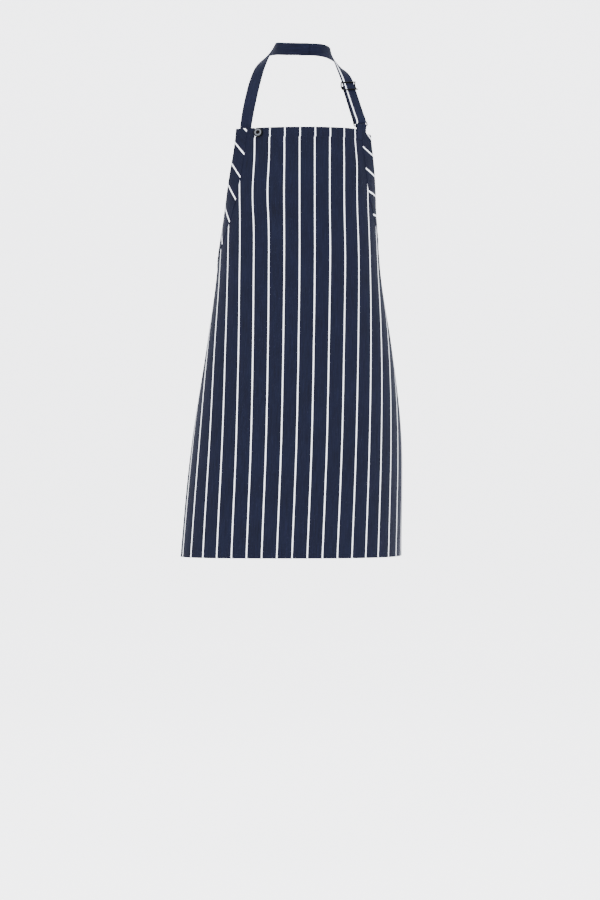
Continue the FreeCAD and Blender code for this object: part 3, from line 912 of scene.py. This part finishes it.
def armholeEdge(share):
    down = cut["armholeDepth"] * math.sin(math.pi / 2 * share)
    step = 0.5 * mm
    before, after = max(down - step, 0), min(down + step, cut["armholeDepth"])
    rise = (halfWidthAt(after) - halfWidthAt(before)) / (after - before)
    size = math.hypot(1, rise)
    return halfWidthAt(down), down, -1 / size, rise / size


armholeRun = [0.0]
for index in range(1, 401):
    here, before = armholeEdge(index / 400), armholeEdge((index - 1) / 400)
    armholeRun.append(armholeRun[-1] + math.hypot(here[0] - before[0], here[1] - before[1]))


def armholeLength(share):
    return float(np.interp(share * 400, range(401), armholeRun))


def spreadDepth(side, share, depth):
    # the bias facing spreads a little as it goes down the armhole
    more, reach = sewing["rightSpread" if side < 0 else "leftSpread"]
    return depth * (1 + more * ease(armholeLength(share) / reach))


def armholePlace(side, share, depth):
    across, down, inAcross, inDown = armholeEdge(share)
    depth = spreadDepth(side, share, depth)
    return side * (across + inAcross * depth), down + inDown * depth


def armholeFacing(side, name):
    # the facing is cut on the bias, so its stripes run across it at a slant
    outer, inner = foldSection(sewing["facing"], layers["facingHigh"], 0.0, layers["facingLow"],
                               sewing["foldThick"])

    def flatPlace(share, depth):
        run = armholeLength(share)
        depth = spreadDepth(side, share, depth)
        slant = sewing["slant"] + (sewing["slantLower"] - sewing["slant"]) * ease(run / sewing["slantRun"])
        if side < 0:
            return (run - depth * slant) / math.sqrt(2) - sewing["rightBias"], (run + depth) / math.sqrt(2)
        return (run + depth * slant) / math.sqrt(2) + sewing["leftBias"], (run - depth) / math.sqrt(2)

    return foldedSheet(name, lambda share, depth: armholePlace(side, share, depth), spread(0.0, 1.0, 110),
                       outer, inner, finishes["twill"], flatPlace)


def topHem():
    outer, inner = hemSection(sewing["topHem"])
    inset = sewing["inset"]
    return foldedSheet("bibTopHem", lambda share, depth: (share * (halfWidthAt(depth) - inset), depth),
                       spread(-1, 1, 61), outer, inner, finishes["twill"])


def bottomHem():
    outer, inner = hemSection(sewing["hem"])
    half = cut["width"] / 2 - sewing["hem"] - sewing["inset"]
    return foldedSheet("bottomHem", lambda across, depth: (across, cut["length"] - depth),
                       spread(-half, half, 109), outer, inner, finishes["twill"])


def sideHem(side, name):
    outer, inner = hemSection(sewing["hem"])
    return foldedSheet(name, lambda down, depth: (side * (cut["width"] / 2 - depth), down),
                       spread(cut["armholeDepth"] + sewing["inset"], cut["length"] - sewing["inset"], 96),
                       outer, inner, finishes["twill"])


panel = bodyPanel()
hems = [topHem(), bottomHem(), sideHem(-1, "sideHemRight"), sideHem(1, "sideHemLeft")]
facings = [armholeFacing(-1, "armholeFacingRight"), armholeFacing(1, "armholeFacingLeft")]
print("panel, hems and facings sewn")

# the neck strap, its hardware and the routes of its tapes
strap = {
    "width": 0.0254,
    "thick": 0.0016,
    "endThick": 0.0008,
    "rightAcross": -0.1283,
    "tabAcross": 0.1172,
    "tabWidth": 0.022,
    "tabFold": 0.00235,
    "tabSlack": 0.0017,
    "foldRadius": 0.00345,
    "adjust": 0.0805,
    "above": 0.016,
    "endLevel": 0.00495,
    "barLevel": 0.0025,
    "endFold": 0.00245,
    "sliderReach": 0.0085,
}
downTape = Vector((0.275, -0.3375, -0.9)).normalized()
outTape = Vector((0.37, -0.88, 0.44))
outTape = (outTape - downTape * outTape.dot(downTape)).normalized()
lowerBar = Vector((0.1132693, -0.1329667, -0.176))
upperBar = Vector((0.1106287, -0.1297259, -0.1673580))
sliderMiddle = upperBar + outTape * strap["foldRadius"] - downTape * strap["adjust"]
napeMiddle = Vector((0, strap["thick"] / 2, 0))


def inMillimetres(*parts):
    return Vector(parts) * mm


def rightStrapRoute():
    points, faces = [], []
    for down in (0.021, 0.0105, 0.0):
        spot, outward = formPoint(strap["rightAcross"], down)
        points.append(spot + outward * layers["firstTape"])
        faces.append(outward)
    corner = points[-1]
    for x, y, z, face in ((3.5, 3, 26, (-0.33, -0.90, 0.25)), (11, 15, 66, (-0.27, -0.85, 0.45)),
                          (18, 28, 97, (-0.28, -0.74, 0.60)), (28.5, 44, 130, (-0.42, -0.52, 0.74)),
                          (40.5, 61, 152, (-0.66, -0.25, 0.70)), (51.5, 79, 168, (-0.86, 0.02, 0.50))):
        points.append(corner + inMillimetres(x, y, z))
        faces.append(face)
    points += [inMillimetres(-56, -38, -6), inMillimetres(-36, -14, -2), inMillimetres(-15, -1, 0)]
    faces += [(-0.82, 0.52, 0.22), (-0.55, 0.83, 0.08), (-0.18, 0.98, 0)]
    points.append(napeMiddle + inMillimetres(10, 0, 0))
    faces.append((0, 1, 0))
    return points, faces


def leftStrapRoute():
    shoulder = sliderMiddle - downTape * strap["above"]
    points = [inMillimetres(-10, 3.0, 0), inMillimetres(2, 3.0, 0), inMillimetres(16, 2.0, -0.3)]
    points += [inMillimetres(34, -10.5, -4), inMillimetres(51.5, -38, -15), inMillimetres(60.8, -66, -33)]
    points += [inMillimetres(68.8, -80.5, -48), inMillimetres(78.4, -92.4, -64)]
    faces = [(0, 1, 0), (0, 1, 0), (0.15, 0.98, 0), (0.55, 0.83, 0.08), (0.84, 0.46, 0.26)]
    faces += [(0.80, -0.02, 0.60), (0.76, -0.36, 0.54), (0.54, -0.70, 0.47)]
    for reach in spread(0.0, strap["above"] + strap["adjust"], 7):
        points.append(shoulder + downTape * reach)
        faces.append(outTape)
    for turn in spread(30, 180, 6):
        angle = math.radians(turn)
        reach = outTape * math.cos(angle) + downTape * math.sin(angle)
        points.append(upperBar + reach * strap["foldRadius"])
        faces.append(reach)
    points.append(points[-1] - downTape * 0.006)
    faces.append(-outTape)
    return points, faces


def strapReturnRoute():
    start = leftStrapRoute()[0][-1]
    end = sliderMiddle - outTape * strap["endLevel"] + downTape * (strap["sliderReach"] + 0.001)
    points = [start - downTape * 0.05 * mm]
    length = (end - start).dot(-downTape)
    for share in (0.25, 0.5, 0.75, 1.0):
        rise = (end - start).dot(outTape) * ease(share)
        points.append(start - downTape * (length * share) + outTape * rise)
    return points, [-outTape] * len(points)


def strapEndRoute():
    bar = sliderMiddle - outTape * strap["barLevel"]
    points = [bar - outTape * strap["endFold"] + downTape * (strap["sliderReach"] + 0.00095)]
    points.append(bar - outTape * strap["endFold"] + downTape * 0.004)
    faces = [-outTape, -outTape]
    for turn in spread(0, 100, 5):
        angle = math.radians(turn)
        reach = -outTape * math.cos(angle) - downTape * math.sin(angle)
        points.append(bar + reach * strap["endFold"])
        faces.append(reach)
    return points, faces


def ringTabRoute():
    points, faces = [], []
    for down in (0.021, 0.0105, 0.001):
        spot, outward = formPoint(strap["tabAcross"], down)
        points.append(spot + outward * layers["firstTape"])
        faces.append(outward)
    for turn in spread(0, 180, 7):
        angle = math.radians(turn)
        reach = outTape * math.cos(angle) - downTape * math.sin(angle)
        points.append(lowerBar + reach * strap["tabFold"] - downTape * (strap["tabSlack"] * math.sin(angle)))
        faces.append(reach)
    for down in (0.001, 0.0105, 0.021):
        spot, outward = formPoint(strap["tabAcross"], down)
        points.append(spot + outward * layers["secondTape"])
        faces.append(-outward)
    return points, faces


strapRight = tape("neckStrapRight", frames(*rightStrapRoute()), strap["width"], strap["thick"],
                  finishes["tape"])
strapLeft = tape("neckStrapLeft", frames(*leftStrapRoute(), 0.002), strap["width"], strap["thick"],
                 finishes["stripedTape"], seed=3.0)
strapReturn = tape("strapReturn", frames(*strapReturnRoute(), 0.002), strap["width"], strap["endThick"],
                   finishes["tape"], grooveDeep=0.08 * mm, seed=5.0)
strapEnd = tape("strapEnd", frames(*strapEndRoute(), 0.001), strap["width"], strap["endThick"],
                finishes["tape"], grooveDeep=0.08 * mm, seed=6.0)
ringTab = tape("ringTab", frames(*ringTabRoute(), 0.0015), strap["tabWidth"], strap["thick"],
               finishes["tape"], seed=7.0)
print("neck strap threaded")

# the waist ties and the bow
tie = {
    "width": 0.025,
    "thick": 0.0014,
    "down": cut["tieDown"],
    "sewn": 0.026,
    "knot": inMillimetres(-6, 62, -458.5),
    "knotSize": inMillimetres(30, 20, 32),
    "gatherWidth": 0.62,
    "gatherReach": 0.05,
    "curl": 1.5,
}


def tieRunRoute(side):
    points, faces = [], []
    for reach in (tie["sewn"], tie["sewn"] / 2, 0.0, -0.006):
        across = side * (cut["width"] / 2 - reach)
        normal = clothNormal(across, tie["down"])
        points.append(formPoint(across, tie["down"])[0] + normal * layers["firstTape"])
        faces.append(normal)
    end = tie["knot"] + Vector((side * tie["knotSize"].x / 2, -0.004, 0))
    start = points[-1]
    heading = faces[-1].cross(up) * -side
    distance = (end - start).length
    pull, lead = start + heading * (distance * 0.45), end + Vector((side * distance * 0.35, 0, 0))
    for share in (0.25, 0.5, 0.75, 1.0):
        rest = 1 - share
        points.append(start * rest ** 3 + pull * (3 * share * rest ** 2) + lead * (3 * share ** 2 * rest)
                      + end * share ** 3)
        forward = (pull - start) * rest ** 2 + (lead - pull) * (2 * share * rest) + (end - lead) * share ** 2
        face = (up.cross(forward) * side).normalized()
        faces.append(-face if face.dot(faces[-1]) < 0 else face)
    return points, faces


def bowLoopRoute(side):
    reach, droop = (-105, -30) if side < 0 else (96, -36)
    knotSide = side * tie["knotSize"].x / 2 / mm
    path = [(knotSide, 1, 4), (reach * 0.4, 0, 6), (reach * 0.72, 0, -2), (reach * 0.93, 3, -12),
            (reach, 11, droop + 10), (reach * 0.92, 19, droop + 8), (reach * 0.68, 19, droop + 12),
            (reach * 0.4, 13, droop + 20), (knotSide, 7, -3)]
    points = [tie["knot"] + inMillimetres(*spot) for spot in path]
    faces = []
    for index in range(len(points)):
        ahead = points[min(index + 1, len(points) - 1)] - points[max(index - 1, 0)]
        faces.append((up.cross(ahead) * side).normalized())
    return points, faces


def tieTailRoute(side):
    lean, length, depth = (-26, 300, 5) if side < 0 else (20, 272, -4)
    path = [(side * 4, depth, -12), (side * 6 + lean * 0.1, depth, -34)]
    path.append((side * 9 + lean * 0.3, depth + 1, -64))
    for share in (0.4, 0.6, 0.8, 1.0):
        path.append((side * 12 + lean * share, depth + 2 - 4 * share, -length * share))
    points = [tie["knot"] + inMillimetres(*spot) for spot in path]
    return points, [(side * 0.12, 1, 0.1)] + [(side * 0.15, 1, 0)] * 6


def nearKnot(*distances):
    # the tie is drawn together and cupped where it goes into the knot
    closest = max(0.0, 1 - min(distances) / tie["gatherReach"])
    return 1 - (1 - tie["gatherWidth"]) * ease(closest), tie["curl"] * ease(closest)


def waistTie(side, name):
    parts = []
    routes = {"run": tieRunRoute(side), "loop": bowLoopRoute(side), "tail": tieTailRoute(side)}
    for part, route in routes.items():
        rows = frames(*route, 0.003)
        whole = rows[-1][4]
        ends = {"run": lambda at: nearKnot(whole - at), "loop": lambda at: nearKnot(at, whole - at),
                "tail": lambda at: nearKnot(at)}
        parts.append(tape(name + part, rows, tie["width"], tie["thick"], finishes["tape"], shape=ends[part],
                          seed=11.0 + side * len(parts)))
    return joined(name, parts)


def bowKnot():
    # one rounded wrap of tape with the creases that pulling it tight leaves
    size = tie["knotSize"]
    rings, spokes = 34, 56
    points, flats = [], []
    for ring in range(rings + 1):
        turn = math.pi * ring / rings
        across = -math.cos(turn)
        girth = math.sin(turn) ** 0.42 if 0 < ring < rings else 0.0
        for spoke in range(spokes):
            angle = 2 * math.pi * spoke / spokes
            crease = math.sin(across * 9 + 0.9 * math.sin(angle + 0.6)) * 0.05
            crease += noise.noise(Vector((across * 5, math.cos(angle) * 1.4, math.sin(angle) * 1.4))) * 0.09
            squeeze = 1 - 0.16 * math.cos(across * math.pi) * 0.5 - 0.08
            share = girth * (squeeze + crease * girth)
            points.append(tie["knot"] + Vector((across * size.x * 0.5, math.cos(angle) * size.y * 0.5 * share,
                                                math.sin(angle) * size.z * 0.5 * share)))
            flats.append((across * size.x * 0.5, angle * size.z * 0.5))
    faces, places = [], []
    for ring in range(rings):
        for spoke in range(spokes):
            after = (spoke + 1) % spokes
            corners = [(ring, spoke), (ring, after), (ring + 1, after), (ring + 1, spoke)]
            faces.append([line * spokes + column for line, column in corners])
            lap = 2 * math.pi * size.z * 0.5
            places.append([(flats[line * spokes + column][0],
                            flats[line * spokes + column][1] + (lap if after == 0 and column == 0 else 0))
                           for line, column in corners])
    mesh = meshOf("bowKnot", points, faces)
    layFlat(mesh, places)
    work = bmesh.new()
    work.from_mesh(mesh)
    bmesh.ops.remove_doubles(work, verts=work.verts, dist=1e-6)
    work.to_mesh(mesh)
    work.free()
    fixNormals(mesh)
    mesh.shade_smooth()
    return newObject("bowKnot", mesh, finishes["tape"])


tieRight, tieLeft = waistTie(-1, "waistTieRight"), waistTie(1, "waistTieLeft")
knot = bowKnot()
print("ties tied")

# the button: a domed cap with a bright ring let into it, on a tack that goes through the hem
button = {
    "seat": Vector((-0.0902085, -0.1598038, -0.1935)),
    "axis": Vector((-0.3049751, -0.9402405, 0.1514527)).normalized(),
    "spokes": 72,
    "base": 1.15 * mm,
    "top": 5.05 * mm,
    "radius": 9.25 * mm,
    "edge": 1.2 * mm,
    "hole": 2.16 * mm,
    "hollow": 3.55 * mm,
    "hollowLow": 0.92 * mm,
    "hollowHigh": 2.2 * mm,
    "well": 0.7 * mm,
    "ringOuter": 7.1 * mm,
    "ringInner": 3.9 * mm,
    "ringProud": 0.15 * mm,
}


def turned(name, profile, material):
    # a closed profile of (radius, level) points spun about the button's axis
    axis = button["axis"]
    first = axis.cross(up).normalized()
    second = axis.cross(first)
    spokes = button["spokes"]
    points = []
    for spoke in range(spokes):
        angle = 2 * math.pi * spoke / spokes
        away = first * math.cos(angle) + second * math.sin(angle)
        points += [button["seat"] + away * radius + axis * level for radius, level in profile]
    size = len(profile)
    faces = [[spoke * size + index, spoke * size + (index + 1) % size,
              (spoke + 1) % spokes * size + (index + 1) % size, (spoke + 1) % spokes * size + index]
             for spoke in range(spokes) for index in range(size)]
    mesh = meshOf(name, points, faces)
    work = bmesh.new()
    work.from_mesh(mesh)
    bmesh.ops.remove_doubles(work, verts=work.verts, dist=1e-7)
    bmesh.ops.dissolve_degenerate(work, edges=work.edges, dist=1e-8)
    work.to_mesh(mesh)
    work.free()
    mesh.update()
    smoothed(mesh, 35)
    return newObject(name, mesh, material)


def rounded(corner, size, start, end, steps=5):
    # points of a rounded corner about its middle, from one angle to another in degrees
    return [(corner[0] + size * math.cos(math.radians(turn)), corner[1] + size * math.sin(math.radians(turn)))
            for turn in spread(start, end, steps)]


def buttonPieces():
    base, top, radius = button["base"], button["top"], button["radius"]
    outer, inner, edge = button["ringOuter"], button["ringInner"], button["edge"]
    hole, hollow = button["hole"], button["hollow"]
    low, high = base + button["hollowLow"], base + button["hollowHigh"]
    seat = top - button["well"]
    cap = [(hole, base)] + rounded((radius - 0.5 * mm, base + 0.5 * mm), 0.5 * mm, -90, 0)
    cap += rounded((radius - edge, top - edge), edge, 0, 90, 8) + [(outer + 0.06 * mm, top)]
    cap += [(outer + 0.02 * mm, seat), (0.0, seat), (0.0, high), (hollow, high), (hollow, low), (hole, low)]
    crown = seat + 0.02 * mm
    proud = top + button["ringProud"]
    bright = [(inner, crown), (outer - 0.02 * mm, crown), (outer - 0.02 * mm, proud - 0.25 * mm)]
    bright += rounded((outer - 0.3 * mm, proud - 0.28 * mm), 0.28 * mm, 15, 90)
    bright += [((outer + inner) / 2, proud - 0.16 * mm)]
    bright += rounded((inner + 0.3 * mm, proud - 0.28 * mm), 0.28 * mm, 90, 180)
    disc = [(0.0, crown), (inner - 0.04 * mm, crown), (inner - 0.04 * mm, crown + 0.3 * mm)]
    disc += [(3.1 * mm, crown + 0.38 * mm), (2.2 * mm, crown + 0.3 * mm), (1.4 * mm, crown + 0.34 * mm)]
    disc += [(0.7 * mm, crown + 0.46 * mm), (0.0, crown + 0.49 * mm)]
    return [turned("buttonCap", cap, finishes["enamel"]),
            turned("buttonSilverRing", bright, finishes["silver"]),
            turned("buttonInsert", disc, finishes["blackMetal"])]


buttonCap, buttonRing, buttonInsert = buttonPieces()
print("button made")

# stitches: each seam is a line of points that know which way the cloth faces there
stitch = {
    "length": 0.0027,
    "spacing": 0.0035,
    "width": 0.00042,
    "height": 0.0003,
    "uneven": 0.09,
    "tackSpacing": 0.00062,
    "tackLength": 0.0019,
    "tackWidth": 0.0006,
    "tackRun": 0.022,
    "seed": 4,
}


def stitchTree():
    tree = bpy.data.node_groups.new("sewnStitches", "GeometryNodeTree")
    sockets = tree.interface
    sockets.new_socket("Seams", in_out="INPUT", socket_type="NodeSocketGeometry")
    for label in ("Spacing", "Stitch Length", "Stitch Width", "Stitch Height", "Unevenness", "Turn"):
        sockets.new_socket(label, in_out="INPUT", socket_type="NodeSocketFloat")
    sockets.new_socket("Seed", in_out="INPUT", socket_type="NodeSocketInt")
    sockets.new_socket("Thread", in_out="INPUT", socket_type="NodeSocketMaterial")
    sockets.new_socket("Stitches", in_out="OUTPUT", socket_type="NodeSocketGeometry")

    link = tree.links.new

    def add(kind, sockets=None, **settings):
        node = tree.nodes.new(kind)
        for label, value in settings.items():
            setattr(node, label, value)
        for label, value in (sockets or {}).items():
            feed(tree, node.inputs[label], value)
        return node

    given = add("NodeGroupInput").outputs
    curve = add("GeometryNodeMeshToCurve", {0: given["Seams"]})
    dots = add("GeometryNodeCurveToPoints", {"Curve": curve.outputs[0], "Length": given["Spacing"]},
               mode="LENGTH")
    outward = add("GeometryNodeInputNamedAttribute", {"Name": "outward"}, data_type="FLOAT_VECTOR")
    facing = add("FunctionNodeAlignRotationToVector", {"Vector": outward.outputs["Attribute"]}, axis="Z")
    lined = add("FunctionNodeAlignRotationToVector",
                {"Rotation": facing.outputs[0], "Vector": dots.outputs["Tangent"]}, axis="X", pivot_axis="Z")
    ends = [add("ShaderNodeMath", {0: given["Turn"], 1: given["Unevenness"]}, operation=operation).outputs[0]
            for operation in ("SUBTRACT", "ADD")]
    swing = add("FunctionNodeRandomValue", {"Seed": given["Seed"]}, data_type="FLOAT")
    for end, socket in zip(ends, [socket for socket in swing.inputs if socket.enabled]):
        link(end, socket)
    spin = add("ShaderNodeCombineXYZ", {"Z": [socket for socket in swing.outputs if socket.enabled][0]})
    asRotation = add("FunctionNodeEulerToRotation", {0: spin.outputs[0]})
    turn = add("FunctionNodeRotateRotation", {0: lined.outputs[0], 1: asRotation.outputs[0]},
               rotation_space="LOCAL")
    bead = add("GeometryNodeMeshUVSphere", {"Segments": 5, "Rings": 4, "Radius": 0.5})
    size = add("ShaderNodeCombineXYZ", {"X": given["Stitch Length"], "Y": given["Stitch Width"],
                                        "Z": given["Stitch Height"]})
    shaped = add("GeometryNodeTransform", {"Geometry": bead.outputs["Mesh"], "Scale": size.outputs[0]})
    each = add("GeometryNodeInstanceOnPoints", {"Points": dots.outputs["Points"],
                                                "Instance": shaped.outputs[0], "Rotation": turn.outputs[0]})
    real = add("GeometryNodeRealizeInstances", {0: each.outputs[0]})
    smooth = add("GeometryNodeSetShadeSmooth", {0: real.outputs[0]})
    finish = add("GeometryNodeSetMaterial", {"Geometry": smooth.outputs[0], "Material": given["Thread"]})
    link(finish.outputs[0], add("NodeGroupOutput").inputs[0])
    return tree


def sewn(name, seams, tree, values):
    # runs the tree over the seams and keeps its result as a plain mesh
    mesh = bpy.data.meshes.new(name + "Seams")
    points, edges, faces = [], [], []
    for seam in seams:
        for step, (spot, outward) in enumerate(seam):
            if step:
                edges.append((len(points) - 1, len(points)))
            points.append(tuple(spot))
            faces.append(tuple(outward))
    mesh.from_pydata(points, edges, [])
    outward = mesh.attributes.new("outward", "FLOAT_VECTOR", "POINT")
    outward.data.foreach_set("vector", [value for face in faces for value in face])
    holder = bpy.data.objects.new(name + "Seams", mesh)
    scene.collection.objects.link(holder)
    modifier = holder.modifiers.new("stitches", "NODES")
    modifier.node_group = tree
    for socket in tree.interface.items_tree:
        if socket.in_out == "INPUT" and socket.name in values:
            modifier[socket.identifier] = values[socket.name]
    holder.update_tag()
    depsgraph = bpy.context.evaluated_depsgraph_get()
    result = bpy.data.meshes.new_from_object(holder.evaluated_get(depsgraph))
    result.name = name
    holder.modifiers.remove(modifier)
    bpy.data.objects.remove(holder)
    return newObject(name, result, finishes["thread"])


def raised(across, down):
    # the height of the outer face along the bib: the facing's where it covers the panel, else the panel's own
    covered = halfWidthAt(down) - abs(across) < sewing["facing"]
    return layers["facingHigh"] if covered else layers["cloth"]


def panelSeam(place, lift, turned=1):
    # a row of stitches on the cloth's front, or on its back with turned -1
    seam = []
    for across, down in place:
        spot, outward = clothPoint(across, down, lift if lift is not None else raised(across, down))
        seam.append((spot, outward * turned))
    return seam


def panelSeams():
    seams = []
    half, length = cut["width"] / 2, cut["length"]
    top, hem, corner = gathers["topRow"], gathers["hemRow"], cut["armholeDepth"]
    topEnd = halfWidthAt(top) - 0.002
    downs = spread(corner + 0.002, length - 0.002, 200)
    for front in (True, False):
        turned = 1 if front else -1
        lift = layers["cloth"] if front else layers["hemLow"]
        seams.append(panelSeam([(across, top) for across in spread(-topEnd, topEnd, 120)],
                               None if front else lift, turned))
        acrosses = spread(-half + 0.002, half - 0.002, 220)
        seams.append(panelSeam([(across, length - hem) for across in acrosses], lift, turned))
        for side in (-1, 1):
            seams.append(panelSeam([(side * (half - hem), down) for down in downs], lift, turned))
            for depth in (0.0022, sewing["facing"] - 0.0016):
                run = [armholePlace(side, share, depth) for share in spread(0.004, 0.996, 150)]
                seams.append(panelSeam(run, layers["facingHigh"] if front else 0.0, turned))
    return seams


def tapeSeams(rows, width, thick, start=0.0, end=0.0):
    # a row of stitches along each edge of a tape, on both of its faces
    whole = rows[-1][4]
    seams = []
    for edge in (-1, 1):
        for turned in (1, -1):
            aside, out = edge * (width / 2 - seamInset), turned * (thick / 2 - 0.06 * mm)
            seams.append([(spot + side * aside + face * out, face * turned)
                          for spot, _, side, face, length in rows if start <= length <= whole - end])
    return seams


def acrossSeam(rows, at, width, thick):
    # a row of stitches straight across a tape, on both of its faces
    spot, _, side, face, _ = min(rows, key=lambda row: abs(row[4] - at))
    return [[(spot + side * reach + face * (turned * (thick / 2 - 0.04 * mm)), face * turned)
             for reach in spread(-width / 2 + seamInset, width / 2 - seamInset, 12)] for turned in (1, -1)]


def tackSeams():
    # bar tacks: two on each tie's sewn end and two on the seam at the nape
    seams = []
    half = stitch["tackRun"] / 2
    for side in (-1, 1):
        for reach in (0.004, tie["sewn"] - 0.004):
            across = side * (cut["width"] / 2 - reach)
            normal = clothNormal(across, tie["down"])
            level = layers["firstTape"] - tie["thick"] / 2 - 0.2 * mm
            seat = formPoint(across, tie["down"])[0] + normal * level
            way = normal.cross(up.cross(normal)).normalized()
            seams.append([(seat + way * step, -normal) for step in spread(-half, half, 8)])
    for x in (-0.007, 0.001):
        seat = Vector((x, strap["thick"] * 2 + 0.0011, 0))
        seams.append([(seat + up * step, Vector((0, 1, 0))) for step in spread(-half, half, 8)])
    return seams


def allStitches():
    tree = stitchTree()
    plain = {"Spacing": stitch["spacing"], "Stitch Length": stitch["length"], "Stitch Width": stitch["width"],
             "Stitch Height": stitch["height"], "Unevenness": stitch["uneven"], "Turn": 0.0,
             "Seed": stitch["seed"], "Thread": finishes["thread"]}
    seams = panelSeams()
    rightRows, leftRows = frames(*rightStrapRoute(), 0.004), frames(*leftStrapRoute(), 0.002)
    seams += tapeSeams(rightRows, strap["width"], strap["thick"])
    seams += tapeSeams(leftRows, strap["width"], strap["thick"])
    for side in (-1, 1):
        for route, start, end in ((tieRunRoute(side), 0.0, 0.052), (bowLoopRoute(side), 0.052, 0.052),
                                  (tieTailRoute(side), 0.052, 0.0)):
            seams += tapeSeams(frames(*route, 0.004), tie["width"], tie["thick"], start=start, end=end)
    parts = [sewn("apronStitches", seams, tree, plain)]
    tacks = dict(plain)
    tacks.update({"Spacing": stitch["tackSpacing"], "Stitch Length": stitch["tackLength"],
                  "Stitch Width": stitch["tackWidth"], "Turn": math.pi / 2})
    parts.append(sewn("barTacks", tackSeams(), tree, tacks))
    endRows = frames(*strapEndRoute(), 0.001)
    endSeams = acrossSeam(endRows, 0.0035, strap["width"], strap["endThick"])
    rest = sewn("strapEndStitches", endSeams, tree, plain)
    return parts, rest


(apronStitches, tacks), endStitches = allStitches()
print("stitched:", len(apronStitches.data.polygons), "faces of thread")

# what each piece stands for and rides on
onApron = {
    panel: ("body_panel", "striped_twill"),
    hems[0]: ("bib_top_hem", "striped_twill"),
    hems[1]: ("bottom_hem", "striped_twill"),
    hems[2]: ("side_hem_right", "striped_twill"),
    hems[3]: ("side_hem_left", "striped_twill"),
    facings[0]: ("armhole_facing_right", "striped_twill"),
    facings[1]: ("armhole_facing_left", "striped_twill"),
    strapRight: ("neck_strap_right", "tape"),
    strapLeft: ("neck_strap_left", "tape"),
    ringTab: ("ring_tab", "tape"),
    tieRight: ("waist_tie_right", "tape"),
    tieLeft: ("waist_tie_left", "tape"),
    knot: ("bow_knot", "tape"),
    tacks: ("bar_tacks", "thread"),
}
for piece, (node, slotName) in onApron.items():
    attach(piece, "apron")
    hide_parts(node)
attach(apronStitches, "apron")
returnPath = strapReturnRoute()[0]
tuple(returnPath[0])
tuple(returnPath[-1])
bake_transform(strapReturn)
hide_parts("strap_return")
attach(strapEnd, "slider")
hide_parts("strap_end")
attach(endStitches, "slider")
for piece, node, slotName in ((buttonCap, "button_cap", "black_metal"),
                              (buttonRing, "button_silver_ring", "silver_metal"),
                              (buttonInsert, "button_insert", "black_metal")):
    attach(piece, "button")
    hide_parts(node)
for node, finish in (("slider", "blackMetal"), ("ring", "blackMetal"), ("button_shank", "brass"),
                     ("button_tack", "brass")):
    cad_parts[node].material_slots[0].material = finishes[finish]

# a pale floor that turns up into a backdrop, and soft light
stageShape = {"floor": view["floor"], "back": 8.0, "bend": 3.0, "half": 10.0, "front": -9.0, "height": 9.0}


def backdrop():
    shape = stageShape
    profile = [(shape["front"], shape["floor"]), (shape["back"] - shape["bend"], shape["floor"])]
    for turn in spread(0, 90, 13)[1:]:
        angle = math.radians(turn)
        profile.append((shape["back"] - shape["bend"] + shape["bend"] * math.sin(angle),
                        shape["floor"] + shape["bend"] * (1 - math.cos(angle))))
    profile.append((shape["back"], shape["floor"] + shape["height"]))
    points = [(x, y, z) for y, z in profile for x in (-shape["half"], shape["half"])]
    faces = [(2 * index, 2 * index + 1, 2 * index + 3, 2 * index + 2) for index in range(len(profile) - 1)]
    mesh = meshOf("paleBackdrop", points, faces)
    mesh.shade_smooth()
    material, _, shader = startMaterial("palePaper")
    setInputs(shader, BaseColor=linear(243, 243, 245), Roughness=0.9, EmissionColor=linear(250, 250, 252),
              EmissionStrength=1.8)
    return newObject("paleBackdrop", mesh, material)


backdrop()
lamps = {
    "key": ((-1.6, -3.4, 1.2), 2.2, 120.0),
    "fill": ((2.4, -3.2, 0.4), 2.6, 80.0),
    "top": ((0.0, -0.6, 2.4), 2.6, 60.0),
    "back": ((0.0, 1.6, 1.4), 2.0, 40.0),
}
for name, (spot, size, power) in lamps.items():
    lamp = bpy.data.objects.new(name + "Light", bpy.data.lights.new(name + "Light", "AREA"))
    lamp.data.size = size
    lamp.data.energy = power
    lamp.location = spot
    lamp.rotation_euler = (Vector((0, -0.1, -0.6)) - Vector(spot)).to_track_quat("-Z", "Y").to_euler()
    scene.collection.objects.link(lamp)
room = bpy.data.worlds.new("paleRoom")
room.use_nodes = True
roomTree = room.node_tree
lit, seen = roomTree.nodes["Background"], roomTree.nodes.new("ShaderNodeBackground")
for node, strength in ((lit, 2.2), (seen, 4.2)):
    setInputs(node, Color=linear(246, 247, 250), Strength=strength)
choice = roomTree.nodes.new("ShaderNodeMixShader")
roomTree.links.new(roomTree.nodes.new("ShaderNodeLightPath").outputs["Is Camera Ray"], choice.inputs[0])
roomTree.links.new(lit.outputs[0], choice.inputs[1])
roomTree.links.new(seen.outputs[0], choice.inputs[2])
roomTree.links.new(choice.outputs[0], roomTree.nodes["World Output"].inputs["Surface"])
scene.world = room

print("pieces in place")
